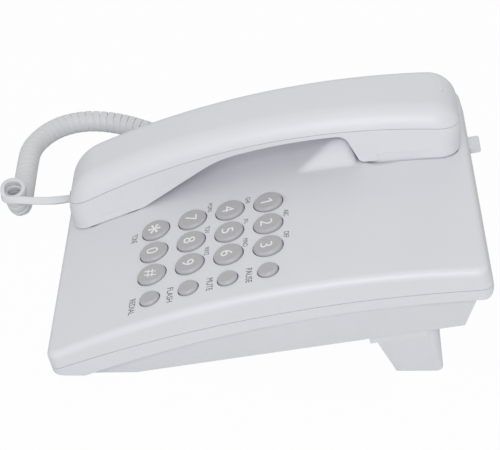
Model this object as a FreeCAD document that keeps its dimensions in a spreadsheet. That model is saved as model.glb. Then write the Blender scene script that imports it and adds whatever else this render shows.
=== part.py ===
import FreeCAD, Part

import math
import os

import Sketcher

# Corded desk telephone: a sloping base with a keypad, and a handset that lies in two wells on its left side.
# Row frame: +X to the user's right, +Y to the rear, +Z up, the desk at z = 0, millimetres.
# Case frame: the base untilted. x as in the row frame, v to the rear along the base's floor, w square to that
# floor. Its origin is the line where the floor's sloping part meets the desk.

os.makedirs("parts", exist_ok=True)
doc = FreeCAD.newDocument("CordedPhone")
sheet = doc.addObject("Spreadsheet::Sheet", "Sizes")
Vector = FreeCAD.Vector
ROUND_OFF = 1e-6


class Size:
    """A number together with the spreadsheet expression that gives it."""

    def __init__(self, value, text):
        self.value = float(value)
        self.text = text

    def __add__(self, other):
        other = as_size(other)
        return Size(self.value + other.value, "(%s + %s)" % (self.text, other.text))

    def __sub__(self, other):
        other = as_size(other)
        return Size(self.value - other.value, "(%s - %s)" % (self.text, other.text))

    def __mul__(self, other):
        other = as_size(other)
        return Size(self.value * other.value, "(%s * %s)" % (self.text, other.text))

    def __truediv__(self, other):
        other = as_size(other)
        return Size(self.value / other.value, "(%s / %s)" % (self.text, other.text))

    def __neg__(self):
        return Size(-self.value, "(-1 * %s)" % self.text)

    __radd__ = __add__
    __rmul__ = __mul__

    def __rsub__(self, other):
        return as_size(other) - self


def as_size(value):
    return value if isinstance(value, Size) else Size(value, "%.6f" % value)


def square_root(size):
    return Size(math.sqrt(size.value), "sqrt(%s)" % size.text)


def sine(angle):
    return Size(math.sin(math.radians(angle.value)), "sin(%s)" % angle.text)


def cosine(angle):
    return Size(math.cos(math.radians(angle.value)), "cos(%s)" % angle.text)


def arc_sine(ratio):
    return Size(math.degrees(math.asin(ratio.value)), "(asin(%s) / 1 deg)" % ratio.text)


driving = []


def size(name, value):
    """Writes one driving dimension into the sheet and returns it."""
    driving.append(name)
    row = len(driving)
    sheet.set("A%d" % row, name)
    sheet.set("B%d" % row, "%.6f" % value)
    sheet.setAlias("B%d" % row, name)
    return Size(value, "Sizes." + name)


# Driving dimensions: the base's outline
case_width = size("case_width", 150.0)
front_reach = size("front_reach", 37.5)
rear_reach = size("rear_reach", 168.3)
rear_lean = size("rear_lean", 1.4)
tilt = size("tilt", 11.5)
rest_line = size("rest_line", 61.8)
deck_radius = size("deck_radius", 450.0)
deck_top = size("deck_top", 39.5)
deck_top_at = size("deck_top_at", 92.0)
seam_radius = size("seam_radius", 600.0)
seam_top = size("seam_top", 27.0)
seam_top_at = size("seam_top_at", 95.0)
seam_gap = size("seam_gap", 0.3)
band_radius = size("band_radius", 520.0)
band_top = size("band_top", 21.2)
band_top_at = size("band_top_at", 100.0)
corner_radius = size("corner_radius", 6.0)
deck_round = size("deck_round", 3.5)
wall = size("wall", 2.4)

# Driving dimensions: the lower cabinet
lip_height = size("lip_height", 2.0)
lip_inner = size("lip_inner", 22.0)
contact_depth = size("contact_depth", 19.7)
skirt_rear = size("skirt_rear", 153.0)
skirt_rear_top = size("skirt_rear_top", 161.0)
skirt_inset = size("skirt_inset", 2.5)
skirt_draft = size("skirt_draft", 7.0)
band_floor = size("band_floor", 1.6)
boss_radius = size("boss_radius", 3.6)
boss_hole = size("boss_hole", 1.55)
boss_x = size("boss_x", 63.6)
boss_front = size("boss_front", 2.0)
boss_rear = size("boss_rear", 146.0)
boss_meet = size("boss_meet", 9.0)
counterbore_radius = size("counterbore_radius", 3.2)
counterbore_depth = size("counterbore_depth", 5.5)
keyhole_apart = size("keyhole_apart", 83.0)
keyhole_at = size("keyhole_at", 14.0)
keyhole_head = size("keyhole_head", 4.5)
keyhole_neck = size("keyhole_neck", 2.3)
keyhole_length = size("keyhole_length", 9.0)

# Driving dimensions: the wells and the shoulder between them
handset_x = size("handset_x", -36.0)
mouth_well_front = size("mouth_well_front", -29.5)
mouth_well_rear = size("mouth_well_rear", 9.0)
mouth_well_half = size("mouth_well_half", 21.2)
ear_well_front = size("ear_well_front", 114.6)
ear_well_rear = size("ear_well_rear", 163.0)
ear_well_half = size("ear_well_half", 24.0)
well_depth = size("well_depth", 7.0)
well_corner = size("well_corner", 10.0)
shoulder_front = size("shoulder_front", 81.0)
shoulder_rise = size("shoulder_rise", 9.0)
shoulder_half = size("shoulder_half", 24.5)
shoulder_flank = size("shoulder_flank", 11.0)
shoulder_slope = size("shoulder_slope", 22.0)
shoulder_round = size("shoulder_round", 3.0)

# Driving dimensions: the keypad
keypad_x = size("keypad_x", 7.2)
keypad_v = size("keypad_v", 41.65)
key_pitch_x = size("key_pitch_x", 17.05)
key_pitch_v = size("key_pitch_v", 18.85)
function_pitch = size("function_pitch", 17.45)
key_radius = size("key_radius", 6.95)
function_radius = size("function_radius", 4.7)
key_rise = size("key_rise", 1.7)
key_bevel = size("key_bevel", 0.9)
key_gap = size("key_gap", 0.45)
key_travel = size("key_travel", 1.6)
flange_lip = size("flange_lip", 0.85)
flange_thick = size("flange_thick", 1.0)
flange_drop = size("flange_drop", 4.0)
stem_length = size("stem_length", 1.2)
stem_radius = size("stem_radius", 1.6)
membrane_thick = size("membrane_thick", 0.8)
dome_height = size("dome_height", 1.2)
board_thick = size("board_thick", 1.6)
seat_gap = size("seat_gap", 0.3)

# Driving dimensions: the desk stand
stand_front = size("stand_front", 109.3)
stand_rear = size("stand_rear", 141.5)
stand_half = size("stand_half", 69.6)
stand_draft = size("stand_draft", 6.0)
stand_flange = size("stand_flange", 3.0)
foot_front_top = size("foot_front_top", 112.6)
foot_front = size("foot_front", 118.6)
foot_rear = size("foot_rear", 139.0)
stand_wall = size("stand_wall", 2.2)
stand_corner = size("stand_corner", 5.0)
clip_width = size("clip_width", 9.0)
clip_thick = size("clip_thick", 2.0)
clip_apart = size("clip_apart", 100.0)
clip_reach = size("clip_reach", 1.6)

# Driving dimensions: the handset
crest_radius = size("crest_radius", 380.0)
crest_top = size("crest_top", 66.4)
crest_top_at = size("crest_top_at", 88.0)
joint_radius = size("joint_radius", 345.0)
joint_top = size("joint_top", 57.6)
joint_gap = size("joint_gap", 0.25)
handset_front = size("handset_front", -33.4)
handset_rear = size("handset_rear", 165.6)
handset_half_front = size("handset_half_front", 19.5)
handset_half_rear = size("handset_half_rear", 23.6)
handset_draft = size("handset_draft", 5.0)
front_round = size("front_round", 25.0)
rear_round = size("rear_round", 15.0)
side_round = size("side_round", 11.0)
handset_wall = size("handset_wall", 2.2)
skim_gap = size("skim_gap", 0.5)
end_lean = size("end_lean", 11.0)
jack_recess = size("jack_recess", 0.9)
plug_corner = size("plug_corner", 13.0)
well_clear = size("well_clear", 0.6)
lift = size("lift", 70.0)

# Driving dimensions: small parts
hook_travel = size("hook_travel", 4.0)
hook_width = size("hook_width", 9.0)
hook_depth = size("hook_depth", 6.0)
slide_gap = size("slide_gap", 0.35)
knob_width = size("knob_width", 10.0)
knob_height = size("knob_height", 3.2)
knob_proud = size("knob_proud", 5.2)
knob_x = size("knob_x", -34.6)
knob_w = size("knob_w", 24.7)
knob_travel = size("knob_travel", 2.0)
jack_width = size("jack_width", 11.6)
jack_height = size("jack_height", 8.4)
jack_depth = size("jack_depth", 14.0)
cord_diameter = size("cord_diameter", 3.2)

doc.recompute()

nodes = []


# Heights of the arches in the case frame
def arc_height(v, top, top_at, radius):
    """Height at v of an arch whose highest point is top, at top_at."""
    away = as_size(v) - top_at
    return top - radius + square_root(radius * radius - away * away)


def deck(v):
    return arc_height(v, deck_top, deck_top_at, deck_radius)


def deck_under(v):
    return arc_height(v, deck_top - wall, deck_top_at, deck_radius - wall)


def seam(v):
    return arc_height(v, seam_top, seam_top_at, seam_radius)


def band(v):
    return arc_height(v, band_top, band_top_at, band_radius)


def ground(v, height):
    """The case frame's height of a line that lies level above the desk."""
    return (height - as_size(v) * sine(tilt)) / cosine(tilt)


def deck_slope(v):
    return arc_sine((deck_top_at - v) / deck_radius)


# Helpers: one sheet value or expression per property
def bind(item, name, value):
    item.setExpression(name, as_size(value).text)


def new_body(name):
    body = doc.addObject("PartDesign::Body", name)
    body.Label = name
    nodes.append(body)
    return body


def place(item, x=0, v=0, w=0, turn=0):
    """Puts an object, drawn about its own origin, at a point of the case frame, turned about X."""
    v = as_size(v)
    w = as_size(w)
    item.Placement = FreeCAD.Placement(Vector(0, 0, 1), FreeCAD.Rotation(Vector(1, 0, 0), 10))
    bind(item, "Placement.Base.x", x)
    bind(item, "Placement.Base.y", v * cosine(tilt) - w * sine(tilt) - rest_line)
    bind(item, "Placement.Base.z", v * sine(tilt) + w * cosine(tilt))
    bind(item, "Placement.Rotation.Angle", tilt + turn)


def sketch_on(body, role, lift=None, at=None, slope=None):
    """A sketch on an origin plane, lifted along its normal, or at a point (x, y, z) and turned about X."""
    sketch = body.newObject("Sketcher::SketchObject", body.Name + "_sketch")
    plane = [item for item in body.Origin.OriginFeatures if item.Role == role][0]
    sketch.AttachmentSupport = [(plane, "")]
    sketch.MapMode = "FlatFace"
    if lift is not None:
        bind(sketch, "AttachmentOffset.Base.z", lift)
    if at is not None:
        sketch.AttachmentOffset = FreeCAD.Placement(Vector(), FreeCAD.Rotation(Vector(1, 0, 0), 1))
        for axis, value in zip("xyz", at):
            bind(sketch, "AttachmentOffset.Base." + axis, value)
        bind(sketch, "AttachmentOffset.Rotation.Angle", slope)
    return sketch


def pin(sketch, kind, geometry, point, value):
    value = as_size(value)
    number = sketch.addConstraint(Sketcher.Constraint(kind, -1, 1, geometry, point, value.value))
    sketch.setExpression("Constraints[%d]" % number, value.text)


def outline(sketch, corners):
    """Closes a loop through corners (x, y) or (x, y, radius). The side after a corner that has a radius is an
    arc: it bends to the left where the radius is positive."""
    corners = [tuple(as_size(value) for value in corner) for corner in corners]
    first = sketch.GeometryCount
    count = len(corners)
    heads = []
    tails = []
    for i in range(count):
        here = corners[i]
        there = corners[(i + 1) % count]
        start = Vector(here[0].value, here[1].value, 0)
        end = Vector(there[0].value, there[1].value, 0)
        if len(here) == 2:
            sketch.addGeometry(Part.LineSegment(start, end))
            heads.append(1)
            tails.append(2)
            continue
        radius = abs(here[2].value)
        side = 1 if here[2].value > 0 else -1
        chord = end - start
        rise = math.sqrt(max(radius ** 2 - (chord.Length / 2) ** 2, 0))
        across = Vector(-chord.y, chord.x, 0).normalize()
        centre = (start + end) * 0.5 + across * (rise * side)
        one, two = (start, end) if side > 0 else (end, start)
        first_angle = math.atan2(one.y - centre.y, one.x - centre.x)
        last_angle = math.atan2(two.y - centre.y, two.x - centre.x)
        circle = Part.Circle(centre, Vector(0, 0, 1), radius)
        sketch.addGeometry(Part.ArcOfCircle(circle, first_angle, last_angle))
        heads.append(1 if side > 0 else 2)
        tails.append(2 if side > 0 else 1)
    for i in range(count):
        previous = (i - 1) % count
        link = Sketcher.Constraint("Coincident", first + previous, tails[previous], first + i, heads[i])
        sketch.addConstraint(link)
    for i, corner in enumerate(corners):
        pin(sketch, "DistanceX", first + i, heads[i], corner[0])
        pin(sketch, "DistanceY", first + i, heads[i], corner[1])
        if len(corner) == 3:
            radius = corner[2] if corner[2].value > 0 else -corner[2]
            number = sketch.addConstraint(Sketcher.Constraint("Radius", first + i, radius.value))
            sketch.setExpression("Constraints[%d]" % number, radius.text)


def box_outline(sketch, x_low, x_high, y_low, y_high):
    outline(sketch, [(x_low, y_low), (x_high, y_low), (x_high, y_high), (x_low, y_high)])


def round_box(sketch, half_x, half_y, radius, x=0, y=0):
    """A rectangle about (x, y) with quarter circles at its corners."""
    left = as_size(x) - half_x
    right = as_size(x) + half_x
    low = as_size(y) - half_y
    high = as_size(y) + half_y
    outline(sketch, [
        (left + radius, low), (right - radius, low, radius), (right, low + radius), (right, high - radius, radius),
        (right - radius, high), (left + radius, high, radius), (left, high - radius), (left, low + radius, radius)])


def disc(sketch, x, y, radius):
    x = as_size(x)
    y = as_size(y)
    circle = Part.Circle(Vector(x.value, y.value, 0), Vector(0, 0, 1), radius.value)
    number = sketch.addGeometry(circle)
    pin(sketch, "DistanceX", number, 3, x)
    pin(sketch, "DistanceY", number, 3, y)
    bound = sketch.addConstraint(Sketcher.Constraint("Radius", number, radius.value))
    sketch.setExpression("Constraints[%d]" % bound, radius.text)


def extrude(body, kind, sketch, length, symmetric=False, flip=False):
    base = body.Tip
    feature = body.newObject(kind, body.Name + "_" + kind.split("::")[1])
    feature.Profile = sketch
    feature.Length = as_size(length).value
    bind(feature, "Length", length)
    feature.SideType = "Symmetric" if symmetric else "One side"
    feature.Reversed = flip
    before = base.Shape.Volume if base is not None else 0
    doc.recompute([sketch, feature])
    if feature.State != ["Up-to-date"] or feature.Shape.isNull():
        raise RuntimeError("%s of %s failed: %s" % (feature.Name, body.Label, feature.State))
    grown = feature.Shape.Volume - before
    if (kind == "PartDesign::Pad") != (grown > ROUND_OFF) or abs(grown) < ROUND_OFF:
        raise RuntimeError("%s of %s changed nothing" % (feature.Name, body.Label))
    return feature


def pad(body, sketch, length, symmetric=False, flip=False):
    return extrude(body, "PartDesign::Pad", sketch, length, symmetric, flip)


def pocket(body, sketch, length, symmetric=False, flip=False):
    return extrude(body, "PartDesign::Pocket", sketch, length, symmetric, flip)


def loft(body, kind, sketches):
    base = body.Tip
    before = base.Shape.Volume if base is not None else 0
    feature = body.newObject("PartDesign::" + kind, body.Name + "_" + kind)
    feature.Profile = sketches[0]
    feature.Sections = sketches[1:]
    feature.Ruled = True
    doc.recompute(sketches + [feature])
    grown = feature.Shape.Volume - before
    if feature.State != ["Up-to-date"] or (kind == "AdditiveLoft") != (grown > ROUND_OFF):
        raise RuntimeError("%s of %s failed: %s" % (feature.Name, body.Label, feature.State))
    return feature


def soften(body, kind, value, chosen):
    """Fillets or chamfers the edges that chosen(edge) picks on the body's tip."""
    base = body.Tip
    names = ["Edge%d" % (i + 1) for i, edge in enumerate(base.Shape.Edges) if chosen(edge)]
    if not names:
        raise RuntimeError("no edge to soften on " + body.Label)
    feature = body.newObject("PartDesign::" + kind, body.Name + "_" + kind)
    feature.Base = (base, names)
    prop = "Radius" if kind == "Fillet" else "Size"
    setattr(feature, prop, value.value)
    bind(feature, prop, value)
    doc.recompute([feature])
    if feature.State != ["Up-to-date"]:
        raise RuntimeError("%s of %s failed: %s" % (feature.Name, body.Label, feature.State))
    return feature


def upright(edge, half):
    """True for a straight edge that runs up the body at x = half or -half."""
    box = edge.BoundBox
    return (edge.Curve.TypeId == "Part::GeomLine" and abs(abs(box.Center.x) - half) < 0.01
            and box.ZLength > box.YLength and box.XLength < 0.01)


def level_point(v, above, slope):
    """The case frame's (v, w) of a point that stands off the deck by above, square to it."""
    return v - above * sine(slope), deck(v) + above * cosine(slope)


screw_bite = size("screw_bite", 8.0)
post_bite = size("post_bite", 4.0)
hook_at = -size("hook_ahead", 17.0)

# Upper cabinet: arched deck on four walls, with the wells, the shoulder, the key holes and the bosses
well_skin = wall * 0.5
mouth_middle = (mouth_well_front + mouth_well_rear) * 0.5
ear_middle = (ear_well_front + ear_well_rear) * 0.5
mouth_slope = deck_slope(mouth_middle)
ear_slope = deck_slope(ear_middle)
mouth_half_length = (mouth_well_rear - mouth_well_front) * 0.5 / cosine(mouth_slope)
ear_half_length = (ear_well_rear - ear_well_front) * 0.5 / cosine(ear_slope)
keypad_slope = deck_slope(keypad_v)
above_deck = size("above_deck", 5.0)
stack_gap = size("stack_gap", 0.1)
guide_side = size("guide_side", 8.9)
guide_end = size("guide_end", 37.0)
key_columns = [as_size(0), key_pitch_x, key_pitch_x * 2, key_pitch_x * 2 + function_pitch]
key_rows = [key_pitch_v * share for share in (1.5, 0.5, -0.5, -1.5)]
post_x = [as_size(0) - size("post_left", 11.0), key_columns[3] + size("post_right", 8.6)]
post_y = key_pitch_v
post_radius = size("post_radius", 2.3)
post_hole = size("post_hole", 1.05)
flange_top = -flange_drop
stem_end = flange_top - flange_thick - stem_length
membrane_top = stem_end - key_travel - seat_gap - dome_height
board_top = membrane_top - membrane_thick - stack_gap
doc.recompute()


def add_well(body, middle, slope, half, half_length):
    """A well sunk square to the deck: first its skin below the deck, then the hollow."""
    v, w = level_point(middle, -well_skin, slope)
    skin = sketch_on(body, "XY_Plane", at=(handset_x, v, w), slope=slope)
    round_box(skin, half + wall, half_length + wall, well_corner + wall)
    pad(body, skin, well_depth + wall - well_skin, flip=True)
    v, w = level_point(middle, above_deck * 0.4, slope)
    mouth = sketch_on(body, "XY_Plane", at=(handset_x, v, w), slope=slope)
    round_box(mouth, half, half_length, well_corner)
    return mouth, well_depth + above_deck * 0.4


def keypad_sketch(body, above):
    """A sketch square to the keys' travel, its origin on the first column's line."""
    v, w = level_point(keypad_v, above, keypad_slope)
    return sketch_on(body, "XY_Plane", at=(keypad_x, v, w), slope=keypad_slope)


def make_upper_cabinet():
    body = new_body("upper_cabinet")
    half = case_width * 0.5
    side = sketch_on(body, "YZ_Plane")
    outline(side, [
        (-front_reach, seam(-front_reach), -seam_radius),
        (rear_reach, seam(rear_reach)),
        (rear_reach - rear_lean, deck(rear_reach - rear_lean), deck_radius),
        (-front_reach, deck(-front_reach))])
    pad(body, side, case_width, symmetric=True)
    soften(body, "Fillet", corner_radius, lambda edge: upright(edge, half.value))
    rim = [face for face in body.Tip.Shape.Faces
           if face.Surface.TypeId == "Part::GeomCylinder" and abs(face.Surface.Radius - deck_radius.value) < 0.01]
    rim_edges = [edge.CenterOfMass for edge in rim[0].Edges]
    soften(body, "Fillet", deck_round, lambda edge: any((edge.CenterOfMass - c).Length < 0.01 for c in rim_edges))
    inside = sketch_on(body, "YZ_Plane")
    outline(inside, [
        (wall - front_reach, 0), (rear_reach - wall, 0), (rear_reach - wall, seam(rear_reach)),
        (rear_reach - rear_lean - wall, deck_under(rear_reach - rear_lean - wall), deck_radius - wall),
        (wall - front_reach, deck_under(wall - front_reach))])
    pocket(body, inside, case_width - wall * 2, symmetric=True)

    # The shoulder in front of the ear well
    low_w = deck_top - well_skin
    shoulder_rear = ear_well_front - size("shoulder_back", 1.0)
    foot = sketch_on(body, "XY_Plane", lift=low_w)
    box_outline(foot, handset_x - shoulder_half, handset_x + shoulder_half, shoulder_front, shoulder_rear)
    crown = sketch_on(body, "XY_Plane", lift=low_w + shoulder_rise + well_skin)
    top_half = shoulder_half - shoulder_flank
    box_outline(crown, handset_x - top_half, handset_x + top_half,
                shoulder_front + shoulder_slope, shoulder_rear - size("shoulder_rake", 3.0))
    loft(body, "AdditiveLoft", [foot, crown])
    soften(body, "Fillet", shoulder_round, lambda edge: edge.CenterOfMass.z > deck_top.value + 2.0)

    for middle, slope, half_x, half_y in (
            (mouth_middle, mouth_slope, mouth_well_half, mouth_half_length),
            (ear_middle, ear_slope, ear_well_half, ear_half_length)):
        mouth, depth = add_well(body, middle, slope, half_x, half_y)
        pocket(body, mouth, depth)

    # Bosses for the case screws, and posts for the keypad board
    for boss_v in (boss_front, boss_rear):
        rings = sketch_on(body, "XY_Plane", lift=boss_meet)
        for side_x in (-boss_x, boss_x):
            disc(rings, side_x, boss_v, boss_radius)
        pad(body, rings, deck(boss_v) - well_skin - boss_meet)
        holes = sketch_on(body, "XY_Plane", lift=boss_meet)
        for side_x in (-boss_x, boss_x):
            disc(holes, side_x, boss_v, boss_hole)
        pocket(body, holes, screw_bite + 1.0, flip=True)
    guide = keypad_sketch(body, -wall * 0.8)
    box_outline(guide, -guide_side, key_columns[3] + guide_side * 0.75, -guide_end, guide_end)
    pad(body, guide, flange_drop - wall * 0.8, flip=True)
    posts = keypad_sketch(body, board_top + stack_gap)
    for x in post_x:
        for y in (-post_y, post_y):
            disc(posts, x, y, post_radius)
    pad(body, posts, -board_top - stack_gap - wall * 0.7)
    bores = keypad_sketch(body, board_top + stack_gap)
    for x in post_x:
        for y in (-post_y, post_y):
            disc(bores, x, y, post_hole)
    pocket(body, bores, post_bite + 0.5, flip=True)

    holes = keypad_sketch(body, above_deck)
    for column, x in enumerate(key_columns):
        for y in key_rows:
            disc(holes, x, y, (key_radius if column < 3 else function_radius) + key_gap)
    pocket(body, holes, above_deck + flange_drop + 0.5)

    # Slot for the ringer switch's knob in the rear wall, and the plunger's hole in the ear well's floor
    slot = sketch_on(body, "XZ_Plane")
    reach = knob_width * 0.5 + knob_travel + slide_gap
    rise = knob_height * 0.5 + slide_gap
    box_outline(slot, knob_x - reach, knob_x + reach, seam(rear_reach) - 1.0, knob_w + rise)
    bind(slot, "AttachmentOffset.Base.z", -(rear_reach + above_deck))
    pocket(body, slot, above_deck + wall * 2, flip=True)
    v, w = level_point(ear_middle, above_deck, ear_slope)
    shaft = sketch_on(body, "XY_Plane", at=(handset_x, v, w), slope=ear_slope)
    gap_x = hook_width * 0.5 + slide_gap
    gap_y = hook_depth * 0.5 + slide_gap
    box_outline(shaft, -gap_x, gap_x, hook_at - gap_y, hook_at + gap_y)
    pocket(body, shaft, above_deck + well_depth + wall * 2)
    place(body)
    return body




# Driving dimensions: the inside of the base
skirt_half = size("skirt_half", 70.0)
floor_gap = size("floor_gap", 0.3)
lower_boss_radius = size("lower_boss_radius", 5.0)
screw_hole = size("screw_hole", 1.7)
foot_pad_x = size("foot_pad_x", 52.0)
foot_pad_half = size("foot_pad_half", 9.0)
foot_pad_deep = size("foot_pad_deep", 4.0)
foot_pad_at = size("foot_pad_at", 10.5)
foot_pad_thick = size("foot_pad_thick", 1.4)
ringer_x = size("ringer_x", -40.0)
ringer_v = size("ringer_v", 52.0)
ringer_radius = size("ringer_radius", 13.0)
ringer_thick = size("ringer_thick", 3.2)
main_left = size("main_left", -6.0)
main_right = size("main_right", 57.0)
main_front = size("main_front", 24.0)
main_rear = size("main_rear", 98.0)
main_w = size("main_w", 7.5)
standoff_radius = size("standoff_radius", 2.6)
standoff_hole = size("standoff_hole", 1.05)
standoff_inset = size("standoff_inset", 4.0)
base_jack_v = size("base_jack_v", 66.0)
base_jack_w = size("base_jack_w", 11.0)
line_jack_x = size("line_jack_x", 30.0)
line_jack_w = size("line_jack_w", 9.0)
jack_gap = size("jack_gap", 0.15)
cavity_width = size("cavity_width", 7.9)
cavity_height = size("cavity_height", 5.8)
cavity_depth = size("cavity_depth", 12.0)
handset_jack_w = size("handset_jack_w", 29.8)
sprue = size("sprue", 1.0)
doc.recompute()
slot_deep = clip_thick + 1.2
clip_rows = [stand_front + size("clip_in", 3.2), stand_rear - size("clip_back", 1.0)]


def make_lower_cabinet():
    body = new_body("lower_cabinet")
    half = case_width * 0.5
    inset = half - skirt_inset
    high = seam_top + 6.0
    side = sketch_on(body, "YZ_Plane")
    merge = band_floor * 0.5
    outline(side, [
        (-contact_depth, ground(-contact_depth, 0)), (0, 0), (skirt_rear, 0),
        (skirt_rear_top, band(skirt_rear_top) + merge, band_radius),
        (-contact_depth, band(-contact_depth) + merge)])
    pad(body, side, inset * 2, symmetric=True)
    slivers = sketch_on(body, "XZ_Plane")
    for way in (-1, 1):
        outline(slivers, [
            (skirt_half * way, 0), ((inset + 1.0) * way, 0), ((inset + 1.0) * way, (skirt_inset + 1.0) * skirt_draft)])
    pocket(body, slivers, rear_reach * 3, symmetric=True)
    rim = sketch_on(body, "YZ_Plane")
    round_off = corner_radius * 0.7
    outline(rim, [
        (-front_reach, ground(-front_reach, lip_height)),
        (-lip_inner, band(-lip_inner), -band_radius),
        (rear_reach - round_off, band(rear_reach - round_off), round_off),
        (rear_reach, band(rear_reach) + round_off),
        (rear_reach, seam(rear_reach) - seam_gap, seam_radius),
        (-front_reach, seam(-front_reach) - seam_gap)])
    pad(body, rim, case_width, symmetric=True)
    soften(body, "Fillet", corner_radius, lambda edge: upright(edge, half.value))
    deep = sketch_on(body, "YZ_Plane")
    inner_front = wall - contact_depth
    outline(deep, [
        (inner_front, ground(inner_front, 0) + wall), (wall * 0.1, wall), (skirt_rear - wall, wall),
        (skirt_rear_top - wall, band(skirt_rear_top)), (skirt_rear_top - wall, high), (inner_front, high)])
    pocket(body, deep, (skirt_half - wall) * 2, symmetric=True)
    shallow = sketch_on(body, "YZ_Plane")
    outline(shallow, [
        (wall - front_reach, ground(-front_reach, lip_height) + band_floor),
        (-lip_inner, band(-lip_inner) + band_floor, -band_radius),
        (rear_reach - wall, band(rear_reach - wall) + band_floor * 1.6),
        (rear_reach - wall, high), (wall - front_reach, high)])
    pocket(body, shallow, case_width - wall * 2, symmetric=True)

    # Screw bosses with counterbores, and standoffs for the main board
    rings = sketch_on(body, "XY_Plane", lift=wall * 0.5)
    for x in (-boss_x, boss_x):
        for v in (boss_front, boss_rear):
            disc(rings, x, v, lower_boss_radius)
    pad(body, rings, boss_meet - floor_gap - wall * 0.5)
    bores = sketch_on(body, "XY_Plane")
    for x in (-boss_x, boss_x):
        for v in (boss_front, boss_rear):
            disc(bores, x, v, counterbore_radius)
    pocket(body, bores, counterbore_depth, flip=True)
    holes = sketch_on(body, "XY_Plane")
    for x in (-boss_x, boss_x):
        for v in (boss_front, boss_rear):
            disc(holes, x, v, screw_hole)
    pocket(body, holes, boss_meet + 1.0, flip=True)
    stands = sketch_on(body, "XY_Plane", lift=wall * 0.5)
    for x, v in standoffs():
        disc(stands, x, v, standoff_radius)
    pad(body, stands, main_w - floor_gap - wall * 0.5)
    bores = sketch_on(body, "XY_Plane", lift=main_w - floor_gap)
    for x, v in standoffs():
        disc(bores, x, v, standoff_hole)
    pocket(body, bores, post_bite)

    # Openings in the floor: wall keyholes, sound slots, slots for the stand's clips, seats of the front feet
    heads = sketch_on(body, "XY_Plane", lift=-1)
    for v in (keyhole_at, keyhole_at + keyhole_apart):
        disc(heads, 0, v, keyhole_head)
    pocket(body, heads, wall + 2.0, flip=True)
    necks = sketch_on(body, "XY_Plane", lift=-1)
    for v in (keyhole_at, keyhole_at + keyhole_apart):
        round_box(necks, keyhole_neck, keyhole_length * 0.5 + keyhole_neck, keyhole_neck * 0.98,
                  y=v + keyhole_length * 0.5)
    pocket(body, necks, wall + 2.0, flip=True)
    slots = sketch_on(body, "XY_Plane", lift=-1)
    for step in (-2, -1, 0, 1, 2):
        box_outline(slots, ringer_x + 4.0 * step - 1.0, ringer_x + 4.0 * step + 1.0, ringer_v - 8.0, ringer_v + 8.0)
    for x in (-clip_apart * 0.5, clip_apart * 0.5):
        reach = clip_width * 0.5 + floor_gap
        box_outline(slots, x - reach, x + reach, clip_rows[0] - floor_gap, clip_rows[0] + slot_deep)
        box_outline(slots, x - reach, x + reach, clip_rows[1] - slot_deep, clip_rows[1] + floor_gap)
    pocket(body, slots, wall + 2.0, flip=True)
    seats = sketch_on(body, "XY_Plane", at=(0, 0, 0), slope=-tilt)
    for x in (-foot_pad_x, foot_pad_x):
        round_box(seats, foot_pad_half + floor_gap, foot_pad_deep + floor_gap, 2 + floor_gap, x=x, y=-foot_pad_at)
    pocket(body, seats, foot_pad_thick, flip=True)

    # Openings in the walls for the two jacks
    reach = jack_width * 0.5 + jack_gap
    rise = jack_height * 0.5 + jack_gap
    left = sketch_on(body, "YZ_Plane", lift=-half)
    box_outline(left, base_jack_v - reach, base_jack_v + reach, base_jack_w - rise, base_jack_w + rise)
    pocket(body, left, half - skirt_half + wall * 1.5, flip=True)
    rear = sketch_on(body, "XZ_Plane", lift=-rear_reach)
    box_outline(rear, line_jack_x - reach, line_jack_x + reach, line_jack_w - rise, line_jack_w + rise)
    pocket(body, rear, rear_reach - skirt_rear + wall * 1.5, flip=True)
    place(body)


def standoffs():
    return [(x, v) for x in (main_left + standoff_inset, main_right - standoff_inset)
            for v in (main_front + standoff_inset, main_rear - standoff_inset)]


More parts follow.
